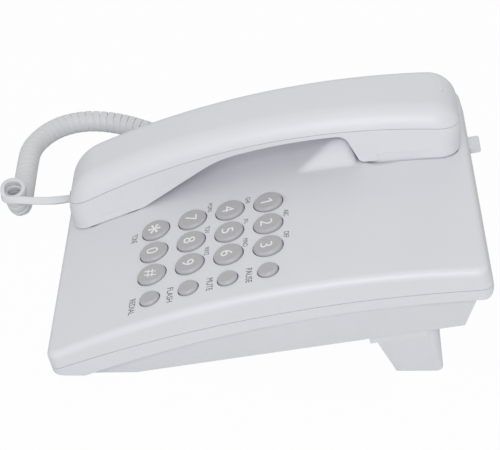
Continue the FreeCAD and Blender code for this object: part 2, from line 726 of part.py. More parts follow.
def make_stand():
    """The foot under the rear: a flange against the floor, hollow sloped walls with ribs, and four clips."""
    body = new_body("desk_stand")
    side = sketch_on(body, "YZ_Plane")
    low_rear = foot_rear - 1.6
    outline(side, [
        (stand_front, -floor_gap), (stand_front, -floor_gap - stand_flange),
        (foot_front_top, -floor_gap - stand_flange),
        (foot_front, ground(foot_front, 0)), (low_rear - 1.0, ground(low_rear - 1.0, 0), 3.2),
        (foot_rear + 1.2, ground(low_rear, 0) + 3.0),
        (stand_rear, -floor_gap)])
    pad(body, side, stand_half * 2, symmetric=True)
    slivers = sketch_on(body, "XZ_Plane")
    for way in (-1, 1):
        outline(slivers, [
            (stand_half * way, -floor_gap - stand_flange),
            ((stand_half + 1.0) * way, -floor_gap - stand_flange),
            ((stand_half + 1.0) * way, -30), ((stand_half - 2.8) * way, -30)])
    pocket(body, slivers, rear_reach * 3, symmetric=True)
    corners = sketch_on(body, "XY_Plane", lift=1)
    for way in (-1, 1):
        edge = (stand_half - 0.8) * way
        outline(corners, [
            (edge - stand_corner * way, stand_rear - 0.6, stand_corner * -way),
            (edge, stand_rear - 0.6 - stand_corner), (edge + 2.0 * way, stand_rear - 0.6 - stand_corner),
            (edge + 2.0 * way, stand_rear + 1.0), (edge - stand_corner * way, stand_rear + 1.0)])
    pocket(body, corners, 40)
    rib = stand_wall * 0.5
    bay = (stand_half - 2.8 - stand_wall) * 0.5
    for way in (-1, 1):
        bay_mid = bay * way
        cut = sketch_on(body, "YZ_Plane", lift=bay_mid + rib * way)
        outline(cut, [
            (foot_front_top + stand_wall * 1.2, -floor_gap + 1.0),
            (foot_front_top + stand_wall * 1.2, -floor_gap - 3.0),
            (foot_front + stand_wall * 1.1, ground(foot_front, 0) + stand_wall * 1.6),
            (foot_rear - stand_wall * 1.3, ground(foot_rear - stand_wall * 1.3, 0) + stand_wall),
            (stand_rear - stand_wall * 1.2, -floor_gap + 1.0)])
        pocket(body, cut, (bay - rib) * 2, symmetric=True)
    for x in (-clip_apart * 0.5, clip_apart * 0.5):
        for row, way in ((clip_rows[0], -1), (clip_rows[1], 1)):
            clip = sketch_on(body, "YZ_Plane", lift=x)
            base_v = row
            back = row - clip_thick * way
            tip = wall + floor_gap
            outline(clip, [
                (base_v, -stand_flange), (base_v, tip), (base_v + clip_reach * way, tip),
                (base_v + clip_reach * way, tip + 0.6), (base_v, tip + 2.6), (back, tip + 2.6), (back, -stand_flange)])
            pad(body, clip, clip_width, symmetric=True)
    pads = sketch_on(body, "XY_Plane", at=(0, 0, 0), slope=-tilt)
    for x in (-foot_pad_x, foot_pad_x):
        round_box(pads, foot_pad_half + floor_gap, foot_pad_deep + floor_gap, 2 + floor_gap, x=x, y=stand_pad_y)
    pocket(body, pads, foot_pad_thick, flip=True)
    place(body)


stand_pad_y = (foot_front + foot_rear) * 0.5 / cosine(tilt)


def make_pads(name, y):
    body = new_body(name)
    body.AllowCompound = True
    face = sketch_on(body, "XY_Plane")
    for x in (-foot_pad_x, foot_pad_x):
        round_box(face, foot_pad_half, foot_pad_deep, as_size(2), x=x, y=y)
    pad(body, face, foot_pad_thick - 0.1)
    place(body, turn=-tilt)


# Keys: a bevelled round cap on a square flange that stops under the guide plate, with a stem for its dome
def make_key(name, column, row):
    body = new_body(name)
    radius = key_radius if column < 3 else function_radius
    drop = deck_radius - square_root(deck_radius * deck_radius - key_rows[row] * key_rows[row])
    flange = sketch_on(body, "XY_Plane", lift=flange_top - flange_thick - 0.05)
    reach = radius + flange_lip
    box_outline(flange, -reach, reach, -reach, reach)
    pad(body, flange, flange_thick)
    cap = sketch_on(body, "XY_Plane", lift=flange_top - 0.05)
    disc(cap, 0, 0, radius)
    pad(body, cap, flange_drop + 0.05 + key_rise - drop)
    top = key_rise.value - drop.value
    soften(body, "Chamfer", key_bevel, lambda edge: abs(edge.CenterOfMass.z - top) < 0.01)
    stem = sketch_on(body, "XY_Plane", lift=stem_end)
    box_outline(stem, -stem_radius, stem_radius, -stem_radius, stem_radius)
    pad(body, stem, stem_length)
    y = key_rows[row]
    place(body, keypad_x + key_columns[column], keypad_v + y * cosine(keypad_slope),
          deck(keypad_v) + y * sine(keypad_slope), turn=keypad_slope)


def place_keypad(body, above=None):
    place(body, keypad_x, keypad_v, deck(keypad_v), turn=keypad_slope)


def make_membrane():
    body = new_body("keypad_membrane")
    sheet_side = sketch_on(body, "XY_Plane", lift=membrane_top - membrane_thick)
    box_outline(sheet_side, -guide_side + 0.6, key_columns[3] + function_radius + 0.6, -membrane_end, membrane_end)
    pad(body, sheet_side, membrane_thick)
    domes = sketch_on(body, "XY_Plane", lift=membrane_top)
    for x in key_columns:
        for y in key_rows:
            box_outline(domes, x - dome_half, x + dome_half, y - dome_half, y + dome_half)
    feature = pad(body, domes, dome_height)
    place_keypad(body)


membrane_end = size("membrane_end", 33.0)
dome_half = size("dome_half", 2.4)
board_end = size("board_end", 34.5)
screw_radius = size("screw_radius", 1.0)
screw_head = size("screw_head", 2.0)
screw_head_height = size("screw_head_height", 1.4)


def make_keypad_board():
    body = new_body("keypad_board")
    face = sketch_on(body, "XY_Plane", lift=board_top - board_thick)
    box_outline(face, post_x[0] - post_radius - 0.5, post_x[1] + post_radius, -board_end, board_end)
    for x in post_x:
        for y in (-post_y, post_y):
            disc(face, x, y, screw_radius + 0.15)
    pad(body, face, board_thick)
    place_keypad(body)
    screws = new_body("keypad_screws")
    screws.AllowCompound = True
    shafts = sketch_on(screws, "XY_Plane", lift=board_top - board_thick)
    heads = sketch_on(screws, "XY_Plane", lift=board_top - board_thick)
    for x in post_x:
        for y in (-post_y, post_y):
            disc(shafts, x, y, screw_radius)
            disc(heads, x, y, screw_head)
    pad(screws, shafts, board_thick + stack_gap + post_bite)
    pad(screws, heads, screw_head_height, flip=True)
    place_keypad(screws)


make_upper_cabinet()
make_lower_cabinet()
make_stand()
make_pads("front_feet", -foot_pad_at)
make_pads("stand_feet", stand_pad_y)
for name, column, row in (
        ("key_1", 0, 0), ("key_2", 1, 0), ("key_3", 2, 0), ("key_pause", 3, 0),
        ("key_4", 0, 1), ("key_5", 1, 1), ("key_6", 2, 1), ("key_mute", 3, 1),
        ("key_7", 0, 2), ("key_8", 1, 2), ("key_9", 2, 2), ("key_flash", 3, 2),
        ("key_star", 0, 3), ("key_0", 1, 3), ("key_hash", 2, 3), ("key_redial", 3, 3)):
    make_key(name, column, row)
make_membrane()
make_keypad_board()


# Pieces on the lower cabinet's floor
def block(body, x_low, x_high, y_low, y_high, low, high):
    """A box between six values of the body's own frame."""
    face = sketch_on(body, "XY_Plane", lift=low)
    box_outline(face, x_low, x_high, y_low, y_high)
    return pad(body, face, as_size(high) - low)


def plug_hole(body, low, high):
    """Opens a jack's cavity from the mouth plane at y = 0 inward, in a body whose mouth faces -y."""
    mouth = sketch_on(body, "XZ_Plane", lift=sprue)
    box_outline(mouth, -cavity_width * 0.5, cavity_width * 0.5, low, high)
    pocket(body, mouth, cavity_depth + sprue)


def make_jack(name):
    """A modular jack: mouth at y = 0 facing -y, with the tall cavity and the latch's narrower slot above it."""
    body = new_body(name)
    block(body, -jack_width * 0.5, jack_width * 0.5, 0, jack_depth, -jack_height * 0.5, jack_height * 0.5)
    low = -cavity_height * 0.5 - 0.3
    plug_hole(body, low, low + cavity_height)
    latch = sketch_on(body, "XZ_Plane", lift=sprue)
    box_outline(latch, -latch_width * 0.5, latch_width * 0.5, low, low + cavity_height + latch_rise)
    pocket(body, latch, cavity_depth * 0.6 + sprue)
    return body


def make_plug(name):
    """A modular plug in its jack: the body, the latch tongue and the collar that the cord leaves through."""
    body = new_body(name)
    low = -cavity_height * 0.5 - 0.3
    half = cavity_width * 0.5 - plug_gap
    block(body, -half, half, -plug_out, cavity_depth - 0.5, low + plug_gap, low + cavity_height - plug_gap)
    tongue = latch_width * 0.5 - plug_gap
    block(body, -tongue, tongue, -plug_out, cavity_depth * 0.5,
          low + cavity_height - plug_gap, low + cavity_height + latch_rise - plug_gap * 2)
    return body


latch_width = size("latch_width", 3.6)
latch_rise = size("latch_rise", 1.0)
plug_gap = size("plug_gap", 0.12)
plug_out = size("plug_out", 1.2)
hook_v, hook_w = as_size(0), as_size(0)
hook_switch_half = size("hook_switch_half", 6.0)
hook_switch_top = size("hook_switch_top", 20.6)
hook_slot_x = size("hook_slot_x", 2.6)
hook_slot_v = size("hook_slot_v", 2.0)
hook_flange = size("hook_flange", 1.5)
hook_tongue = size("hook_tongue", 2.8)
hook_proud = size("hook_proud", 0.2)
ballast_left = size("ballast_left", -62.0)
ballast_right = size("ballast_right", -14.0)
ballast_front = size("ballast_front", 74.0)
ballast_rear = size("ballast_rear", 108.0)
ballast_thick = size("ballast_thick", 4.0)


def turn_to(item, x, v, w, axis, angle):
    """Puts a jack or plug, drawn about its mouth, at a point of the case frame with a yaw about w."""
    place(item, x, v, w)
    base = FreeCAD.Rotation(Vector(1, 0, 0), tilt.value)
    item.setExpression("Placement.Rotation.Angle", None)
    placement = item.Placement
    placement.Rotation = base.multiply(FreeCAD.Rotation(axis, angle))
    item.Placement = placement


def make_base_inside():
    ringer = new_body("ringer")
    face = sketch_on(ringer, "XY_Plane", lift=wall + floor_gap)
    disc(face, ringer_x, ringer_v, ringer_radius)
    pad(ringer, face, ringer_thick)
    well = sketch_on(ringer, "XY_Plane", lift=wall + floor_gap)
    disc(well, ringer_x, ringer_v, ringer_radius - 1.5)
    pocket(ringer, well, ringer_thick * 0.6, flip=True)
    place(ringer)

    ballast = new_body("ballast_plate")
    block(ballast, ballast_left, ballast_right, ballast_front, ballast_rear,
          wall + floor_gap, wall + floor_gap + ballast_thick)
    soften(ballast, "Fillet", as_size(3), lambda edge: edge.BoundBox.ZLength > 1)
    place(ballast)

    board = new_body("main_board")
    face = sketch_on(board, "XY_Plane", lift=main_w)
    box_outline(face, main_left, main_right, main_front, main_rear)
    for x, v in standoffs():
        disc(face, x, v, screw_radius + 0.15)
    pad(board, face, board_thick)
    place(board)
    screws = new_body("main_board_screws")
    screws.AllowCompound = True
    top = main_w + board_thick
    shafts = sketch_on(screws, "XY_Plane", lift=top)
    heads = sketch_on(screws, "XY_Plane", lift=top)
    for x, v in standoffs():
        disc(shafts, x, v, screw_radius)
        disc(heads, x, v, screw_head)
    pad(screws, shafts, board_thick + post_bite, flip=True)
    pad(screws, heads, screw_head_height)
    place(screws)

    loads = new_body("board_components")
    loads.AllowCompound = True
    block(loads, main_left + 6.0, main_left + 24.0, main_front + 12.0, main_front + 28.0, top, top + 9.0)
    block(loads, main_left + 32.0, main_left + 46.0, main_front + 14.0, main_front + 24.0, top, top + 4.0)
    block(loads, main_left + 34.0, main_left + 52.0, main_front + 40.0, main_front + 47.0, top, top + 3.2)
    block(loads, main_left + 8.0, main_left + 26.0, main_front + 50.0, main_front + 58.0, top, top + 7.0)
    cans = sketch_on(loads, "XY_Plane", lift=top)
    disc(cans, main_left + 14.0, main_front + 40.0, as_size(4))
    disc(cans, main_left + 25.0, main_front + 40.0, as_size(3.2))
    disc(cans, main_left + 40.0, main_front + 60.0, as_size(3.2))
    pad(loads, cans, 9)
    place(loads)

    # Hook plunger, square to the ear well's floor, and the switch that its tongue dips into
    hook = new_body("hook_plunger")
    floor_under = -well_depth - wall
    flange_up = floor_under - hook_travel - floor_gap
    block(hook, -hook_width * 0.5, hook_width * 0.5, -hook_depth * 0.5, hook_depth * 0.5,
          flange_up - hook_flange, -well_depth + hook_proud)
    soften(hook, "Fillet", as_size(1.2), lambda edge: (
        edge.BoundBox.ZLength < 0.01 and edge.BoundBox.YLength < 0.01 and edge.CenterOfMass.z > -8))
    block(hook, -hook_width * 0.5 - 2.0, hook_width * 0.5 + 2.0, -hook_depth * 0.5 - 2.0, hook_depth * 0.5 + 2.0,
          flange_up - hook_flange, flange_up)
    block(hook, -hook_slot_x + 0.8, hook_slot_x - 0.8, -hook_slot_v + 1.2, hook_slot_v - 1.2,
          flange_up - hook_flange - hook_tongue, flange_up - hook_flange)
    v = ear_middle + hook_at * cosine(ear_slope)
    w = deck(ear_middle) + hook_at * sine(ear_slope)
    place(hook, handset_x, v, w, turn=ear_slope)
    switch = new_body("hook_switch")
    tongue_end = flange_up - hook_flange - hook_tongue
    middle = v - (tongue_end + 1.0) * sine(ear_slope)
    block(switch, handset_x - hook_switch_half, handset_x + hook_switch_half,
          middle - hook_switch_half, middle + hook_switch_half, wall + floor_gap, hook_switch_top)
    slot = sketch_on(switch, "XY_Plane", lift=hook_switch_top)
    box_outline(slot, handset_x - hook_slot_x, handset_x + hook_slot_x, middle - hook_slot_v, middle + hook_slot_v)
    pocket(switch, slot, 4.4)
    place(switch)

    # Ringer switch: the body on the band's floor and the knob through the notch above the seam
    body = new_body("ringer_switch_body")
    back = rear_reach - wall * 2
    under = band(back - 8.0) + band_floor * 1.6 + floor_gap
    block(body, knob_x - 10.0, knob_x + 10.0, back - 8.0, back, under, knob_w - 0.1)
    track = sketch_on(body, "XZ_Plane", lift=-back - 1.0)
    box_outline(track, knob_x - 3.4 - knob_travel, knob_x + 3.4 + knob_travel, knob_w - 1.9, knob_w + 1)
    pocket(body, track, 3.0, flip=True)
    place(body)
    knob = new_body("ringer_switch_knob")
    face = sketch_on(knob, "XZ_Plane", lift=-(rear_reach - wall + 0.3))
    box_outline(face, knob_x - knob_width * 0.5, knob_x + knob_width * 0.5,
                knob_w - knob_height * 0.5, knob_w + knob_height * 0.5)
    pad(knob, face, knob_proud + wall - 0.3, flip=True)
    far = rear_reach + knob_proud
    soften(knob, "Fillet", as_size(1.2), lambda edge: (
        abs(edge.CenterOfMass.y - far.value) < 0.01 and edge.BoundBox.XLength > 2))
    stem = sketch_on(knob, "XZ_Plane", lift=-(back - 1.8))
    box_outline(stem, knob_x - 3.0, knob_x + 3.0, knob_w - 1.6, knob_w - 0.1)
    pad(knob, stem, wall + 2.2, flip=True)
    place(knob)

    screws = new_body("case_screws")
    screws.AllowCompound = True
    shafts = sketch_on(screws, "XY_Plane", lift=counterbore_depth - 2.0)
    heads = sketch_on(screws, "XY_Plane", lift=counterbore_depth)
    for x in (-boss_x, boss_x):
        for v in (boss_front, boss_rear):
            disc(shafts, x, v, boss_hole - 0.05)
            disc(heads, x, v, screw_hole + 1.1)
    pad(screws, shafts, boss_meet + screw_bite - counterbore_depth + 2.0)
    pad(screws, heads, 2, flip=True)
    place(screws)

    turn_to(make_jack("base_handset_jack"), base_jack_x, base_jack_v, base_jack_w, Vector(0, 0, 1), -90)
    turn_to(make_jack("line_jack"), line_jack_x, line_jack_v, line_jack_w, Vector(0, 0, 1), 180)
    turn_to(make_plug("base_plug"), base_jack_x, base_jack_v, base_jack_w, Vector(0, 0, 1), -90)


base_jack_x = -size("base_jack_mouth", 70.2)
line_jack_v = size("line_jack_mouth", 154.2)
make_base_inside()

# Handset: two shells that meet along the joint's arc, both cut from one drafted plan
plan_low = size("plan_low", 38.0)
plan_high = size("plan_high", 75.0)
hollow_round = side_round - handset_wall * 2.1
under_top = size("under_top", 55.4)
under_top_at = size("under_top_at", 90.0)
under_radius = size("under_radius", 250.0)
slant_v = size("slant_v", 5.8)
bend_v = size("bend_v", 36.8)
bend_w = size("bend_w", 46.9)
bend_radius = size("bend_radius", 60.0)
grip_front = size("grip_front", 60.0)
grip_rear = size("grip_rear", 106.0)
ear_block_v = size("ear_block_v", 117.6)
ear_block_steep = size("ear_block_steep", 66.0)
ear_block_inner = size("ear_block_inner", 6.0)
ear_block_outer = size("ear_block_outer", 3.5)
mouth_plug_half = size("mouth_plug_half", 20.6)
ear_plug_half = size("ear_plug_half", 23.1)
mouth_ease = size("mouth_ease", 1.2)
ear_ease = size("ear_ease", 1.0)
doc.recompute()


def crest(v):
    return arc_height(v, crest_top, crest_top_at, crest_radius)


def joint(v):
    return arc_height(v, joint_top, crest_top_at, joint_radius)


def under(v):
    return arc_height(v, under_top, under_top_at, under_radius)


def skim(v, shrink):
    """The handset's underside over the deck: an arc with the deck's own centre."""
    return arc_height(v, deck_top + skim_gap + shrink, deck_top_at, deck_radius + skim_gap + shrink)


def round_into(face_v, radius, shrink, lean):
    """Where an arc of this radius leaves an end face and where it runs into the crest: two (v, w)."""
    way = 1 if face_v.value < crest_top_at.value else -1
    big = crest_radius - shrink
    centre_v = face_v + radius * way
    reach = big - radius
    away = centre_v - crest_top_at
    rise = square_root(reach * reach - away * away)
    centre_w = crest_top - crest_radius + rise
    leave = (centre_v - radius * cosine(lean) * way, centre_w - radius * sine(lean))
    return leave, (crest_top_at + away * big / reach, crest_top - crest_radius + rise * big / reach)


def tangent(angle):
    return sine(angle) / cosine(angle)


def plan_tool(name, shrink):
    """The drafted plan of the handset, narrower at the front, as a solid to meet the side outlines with."""
    tool = doc.addObject("PartDesign::Body", name)
    faces = []
    for level in (plan_low - 25.0, plan_high):
        face = sketch_on(tool, "XY_Plane", lift=level)
        lean = (level - plan_low) * tangent(handset_draft)
        front = handset_half_front - shrink - lean
        rear = handset_half_rear - shrink - lean
        outline(face, [
            (-front, handset_front), (front, handset_front), (rear, handset_rear), (-rear, handset_rear)])
        faces.append(face)
    loft(tool, "AdditiveLoft", faces)
    return tool


def combine(body, tool, kind):
    feature = body.newObject("PartDesign::Boolean", body.Name + "_" + kind)
    feature.setObjects([tool])
    feature.Type = kind
    doc.recompute([tool, feature])
    if feature.State != ["Up-to-date"] or feature.Shape.isNull():
        raise RuntimeError("%s of %s failed: %s" % (kind, body.Label, feature.State))
    return feature


def handset_side(body, shrink):
    """The whole handset's side outline, drawn in by shrink."""
    front = handset_front + shrink
    face, meet_front = round_into(front, front_round - shrink, shrink, as_size(0))
    back, meet_rear = round_into(handset_rear - shrink, rear_round - shrink, shrink, end_lean)
    lean = shrink * 1.1
    skim_radius = deck_radius + skim_gap + shrink
    slant = slant_v - lean * 0.5
    steep = sine(ear_block_steep)
    level = as_size(1) - cosine(ear_block_steep)
    inner = ear_block_inner + shrink
    outer = ear_block_outer - shrink
    grip = grip_rear + shrink * 0.1
    block = ear_block_v + shrink * 0.4
    block_low = skim(block, shrink)
    side = sketch_on(body, "YZ_Plane")
    outline(side, [
        (front, skim(front, shrink), -skim_radius), (slant, skim(slant, shrink)),
        (bend_v - lean * 0.5, bend_w + lean, -bend_radius - shrink),
        (grip_front, under(grip_front) + shrink, -under_radius),
        (grip, under(grip) + shrink, -inner),
        (grip + inner * (steep - 0.06), under(grip) + shrink - inner * level),
        (block - outer * (steep - 0.06), block_low + outer * level, outer),
        (block, block_low, -skim_radius),
        (back[0] - (back[1] - skim(handset_rear - 2.0, shrink)) * tangent(end_lean), skim(handset_rear - 2.0, shrink)),
        (back[0], back[1], rear_round - shrink), (meet_rear[0], meet_rear[1], crest_radius - shrink),
        (meet_front[0], meet_front[1], front_round - shrink), (face[0], face[1])])
    return side


def crown_edge(edge):
    """True for the edges where a drafted side meets the crest, the end rounds or an end face."""
    centre = edge.CenterOfMass
    if abs(centre.x) < 12:
        return False
    at_end = (centre.y < handset_front.value + 3 or centre.y > handset_rear.value - 3)
    return (at_end and edge.BoundBox.ZLength > 1) or centre.z > joint(as_size(centre.y)).value + 1


def handset_solid(body, shrink, round_over):
    side = handset_side(body, shrink)
    pad(body, side, 60, symmetric=True)
    combine(body, plan_tool(body.Name + "_plan", shrink), "Common")
    soften(body, "Fillet", round_over, crown_edge)


def joint_cut(body, above, shift):
    """Cuts away what lies above, or below, the joint's arc."""
    cut = sketch_on(body, "YZ_Plane")
    far = 30.0 if above else -40.0
    low = handset_front - 10.0
    high = handset_rear + 10.0
    if above:
        outline(cut, [(low, joint(low) + shift, -joint_radius), (high, joint(high) + shift),
                      (high, crest_top + far), (low, crest_top + far)])
    else:
        outline(cut, [(low, joint(low) + shift, -joint_radius), (high, joint(high) + shift),
                      (high, joint_top - 30.0 + far), (low, joint_top - 30.0 + far)])
    pocket(body, cut, 70, symmetric=True)


def make_outer_shell():
    body = new_body("handset_outer_shell")
    handset_solid(body, as_size(0), side_round)
    joint_cut(body, False, 0)
    hollow = doc.addObject("PartDesign::Body", "outer_hollow")
    handset_solid(hollow, handset_wall, hollow_round)
    combine(body, hollow, "Cut")
    for v, low in handset_screws():
        post = sketch_on(body, "XY_Plane", lift=low)
        disc(post, 0, v, shell_boss)
        pad(body, post, crest(v) - handset_wall * 0.5 - low)
        bore = sketch_on(body, "XY_Plane", lift=low)
        disc(bore, 0, v, shell_hole)
        pocket(body, bore, shell_bite + 1.0, flip=True)
    place(body, x=handset_x)
    return body


def sketch_at(body, middle, slope, above):
    """A sketch parallel to the deck at a well's middle, above it by this much."""
    v, w = level_point(middle, above, slope)
    return sketch_on(body, "XY_Plane", at=(0, v, w), slope=slope)


def handset_screws():
    return [(shell_screw_front, shell_screw_front_low), (shell_screw_rear, shell_screw_rear_low)]


shell_boss = size("shell_boss", 3.0)
shell_hole = size("shell_hole", 1.25)
shell_bite = size("shell_bite", 8.0)
screw_seat = size("screw_seat", 0.6)
shell_screw_front = size("shell_screw_front", 0.2)
shell_screw_front_low = size("shell_screw_front_low", 27.6)
shell_screw_rear = size("shell_screw_rear", 156.4)
shell_screw_rear_low = size("shell_screw_rear_low", 31.6)
sound_ring = size("sound_ring", 6.0)
sound_hole = size("sound_hole", 1.0)
capsule_radius = size("capsule_radius", 13.0)
capsule_thick = size("capsule_thick", 6.0)
gasket_wide = size("gasket_wide", 2.0)
mic_radius = size("mic_radius", 4.9)
mic_thick = size("mic_thick", 5.0)
boot_wall = size("boot_wall", 1.6)
weight_half = size("weight_half", 8.0)
weight_front = size("weight_front", 66.0)
weight_rear = size("weight_rear", 102.0)
weight_thick = size("weight_thick", 4.5)


def plug_box(body, middle, slope, half, half_length, ease, corner, low, high):
    """A round-cornered block in a well's own frame, between two distances from the deck. Its ease keeps the side
    that the lift carries towards the well's wall clear of it."""
    v, w = level_point(middle, low, slope)
    face = sketch_on(body, "XY_Plane", at=(0, v, w), slope=slope)
    round_box(face, half, half_length, corner, y=ease)
    return face, high - low


def make_inner_shell():
    body = new_body("handset_inner_shell")
    handset_solid(body, as_size(0), side_round)
    joint_cut(body, True, -joint_gap)
    plugs = (
        (mouth_middle, mouth_slope, mouth_plug_half, mouth_half_length - well_clear - mouth_ease, -mouth_ease,
         plug_corner, 4.5),
        (ear_middle, ear_slope, ear_plug_half, ear_half_length - well_clear - ear_ease, ear_ease,
         well_corner - well_clear, 4.5))
    low = seat_gap - well_depth
    for middle, slope, half, half_length, ease, corner, high in plugs:
        face, height = plug_box(body, middle, slope, half, half_length, ease, corner, low, high)
        pad(body, face, height)
    hollow = doc.addObject("PartDesign::Body", "inner_hollow")
    handset_solid(hollow, handset_wall, hollow_round)
    combine(body, hollow, "Cut")
    for middle, slope, half, half_length, ease, corner, high in plugs:
        face, height = plug_box(body, middle, slope, half - handset_wall, half_length - handset_wall, ease,
                                corner - handset_wall, low + handset_wall, high + 1.0)
        pocket(body, face, height, flip=True)
    reach = jack_width * 0.5 + jack_gap
    rise = jack_height * 0.5 + jack_gap
    front = sketch_on(body, "XZ_Plane", lift=-handset_front + 1.0)
    box_outline(front, -reach, reach, handset_jack_w - rise, handset_jack_w + rise)
    pocket(body, front, jack_depth + 1.5)
    for v, boss_low in handset_screws():
        hole = sketch_on(body, "XY_Plane", lift=boss_low - 8.0)
        disc(hole, 0, v, screw_hole)
        pocket(body, hole, 8, flip=True)
        seat = sketch_on(body, "XY_Plane", lift=boss_low - 8.0)
        disc(seat, 0, v, shell_boss)
        pocket(body, seat, 8 - handset_wall * 0.5 - screw_seat, flip=True)
    sound = sketch_at(body, ear_middle, ear_slope, low - 1.0)
    for i in range(6):
        turn = Size(60.0 * i, "%.1f" % (60.0 * i))
        disc(sound, sound_ring * cosine(turn), sound_ring * sine(turn), sound_hole)
    pocket(body, sound, handset_wall + 2.0, flip=True)
    voice = sketch_at(body, mouth_middle, mouth_slope, low - 1.0)
    for x in (-1, 0, 1):
        disc(voice, 2.6 * x, 0, sound_hole)
    pocket(body, voice, handset_wall + 2.0, flip=True)
    place(body, x=handset_x)
    return body


def ring_on(body, middle, slope, low, thick, outer, inner):
    face = sketch_at(body, middle, slope, low)
    disc(face, 0, 0, outer)
    if inner is not None:
        disc(face, 0, 0, inner)
    pad(body, face, thick)


def make_handset_inside():
    low = seat_gap - well_depth + handset_wall + seat_gap
    capsule = new_body("receiver_capsule")
    ring_on(capsule, ear_middle, ear_slope, low, capsule_thick, capsule_radius, None)
    ring_on(capsule, ear_middle, ear_slope, low + capsule_thick, capsule_thick * 0.4, capsule_radius * 0.5, None)
    place(capsule, x=handset_x)
    gasket = new_body("receiver_gasket")
    ring_on(gasket, ear_middle, ear_slope, low, capsule_thick * 0.6,
            capsule_radius + gasket_wide, capsule_radius + 0.1)
    place(gasket, x=handset_x)
    mic = new_body("microphone_capsule")
    ring_on(mic, mouth_middle, mouth_slope, low + 0.6, mic_thick, mic_radius, None)
    place(mic, x=handset_x)
    boot = new_body("microphone_boot")
    ring_on(boot, mouth_middle, mouth_slope, low, mic_thick, mic_radius + boot_wall, mic_radius + 0.1)
    place(boot, x=handset_x)
    weight = new_body("handset_weight")
    floor = under(under_top_at) + handset_wall + seat_gap
    block(weight, -weight_half, weight_half, weight_front, weight_rear, floor, floor + weight_thick)
    soften(weight, "Chamfer", as_size(0.8), lambda edge: edge.BoundBox.ZLength > 1)
    place(weight, x=handset_x)
    screws = new_body("handset_screws")
    screws.AllowCompound = True
    for v, low_end in handset_screws():
        under_head = low_end - handset_wall * 0.5 - screw_seat
        shaft = sketch_on(screws, "XY_Plane", lift=under_head)
        disc(shaft, 0, v, shell_hole - 0.05)
        pad(screws, shaft, shell_bite + handset_wall * 0.5 + screw_seat)
        head = sketch_on(screws, "XY_Plane", lift=under_head)
        disc(head, 0, v, shell_boss - 0.5)
        pad(screws, head, 1.2, flip=True)
    place(screws, x=handset_x)
    for item in (make_jack("handset_jack"), make_plug("handset_plug")):
        place(item, handset_x, handset_front + jack_recess, handset_jack_w)


make_outer_shell()
make_inner_shell()
make_handset_inside()

# Cord: two plain leads and the wound length between them, in the row frame
cord_radius = size("cord_radius", 1.3)
wire_side = size("wire_side", 2.4)
coil_radius = size("coil_radius", 4.35)
coil_gap = size("coil_gap", 1.0)
coil_rest = size("coil_rest", 6.2)
ring_x = size("ring_x", -48.9)
ring_y = size("ring_y", -133.5)
ring_z = size("ring_z", 19.9)
doc.recompute()


def row_point(x, v, w):
    t = math.radians(tilt.value)
    y = v * math.cos(t) - w * math.sin(t) - rest_line.value
    return Vector(x, y, v * math.sin(t) + w * math.cos(t))


class Route:
    """Straight runs joined by tangent arcs, read by arc length."""

    def __init__(self, points, radii=None):
        self.pieces = []
        self.length = 0.0
        self.radii = []
        start = points[0]
        for i in range(1, len(points) - 1):
            before = points[i] - points[i - 1]
            after = points[i + 1] - points[i]
            one = Vector(before).normalize()
            two = Vector(after).normalize()
            half_turn = one.getAngle(two) / 2
            if half_turn < 1e-4:
                continue
            radius = 0.48 * min(before.Length, after.Length) / math.tan(half_turn)
            if radii and radii.get(i):
                radius = min(radius, radii[i])
            reach = radius * math.tan(half_turn)
            enter = points[i] - one * reach
            leave = points[i] + two * reach
            self.add_line(start, enter)
            self.add_arc(enter, leave, one, two, radius, half_turn)
            start = leave
        self.add_line(start, points[-1])

    def add_line(self, start, end):
        run = end - start
        if run.Length > 1e-6:
            self.pieces.append(("line", self.length, run.Length, start, Vector(run).normalize()))
            self.length += run.Length

    def add_arc(self, enter, leave, one, two, radius, half_turn):
        normal = one.cross(two).normalize()
        inward = normal.cross(one).normalize()
        centre = enter + inward * radius
        self.radii.append(radius)
        self.pieces.append(("arc", self.length, radius * half_turn * 2, centre, one, inward, radius))
        self.length += radius * half_turn * 2

    def at(self, s):
        """Point, direction and curvature vector at arc length s."""
        piece = [p for p in self.pieces if p[1] <= s + 1e-9][-1]
        d = s - piece[1]
        if piece[0] == "line":
            return piece[3] + piece[4] * d, Vector(piece[4]), Vector()
        kind, begin, length, centre, one, inward, radius = piece
        a = d / radius
        out = inward * -math.cos(a) + one * math.sin(a)
        return centre + out * radius, inward * math.sin(a) + one * math.cos(a), out * (-1 / radius)

    def edges(self):
        result = []
        for piece in self.pieces:
            if piece[0] == "line":
                result.append(Part.makeLine(piece[3], piece[3] + piece[4] * piece[2]))
            else:
                start = self.at(piece[1])[0]
                middle = self.at(piece[1] + piece[2] / 2)[0]
                kind, begin, length, centre, one, inward, radius = piece
                a = length / radius
                end = centre + (inward * -math.cos(a) + one * math.sin(a)) * radius
                result.append(Part.Arc(start, middle, end).toShape())
        return result


def new_feature(name, shape):
    item = doc.addObject("Part::Feature", name)
    item.Label = name
    item.Shape = shape
    item.Placement = FreeCAD.Placement()
    nodes.append(item)
    return item


def swept(edges, profile):
    path = Part.Wire(Part.__sortEdges__(edges))
    return path.makePipeShell([profile], True, False)


def lead(name, route):
    point, along, bend = route.at(0)
    profile = Part.Wire([Part.makeCircle(cord_radius.value, point, along)])
    solid = swept(route.edges(), profile)
    new_feature(name, solid)
    print("%s: length %.1f, radii %s" % (name, route.length, ["%.0f" % r for r in route.radii]))
    return solid


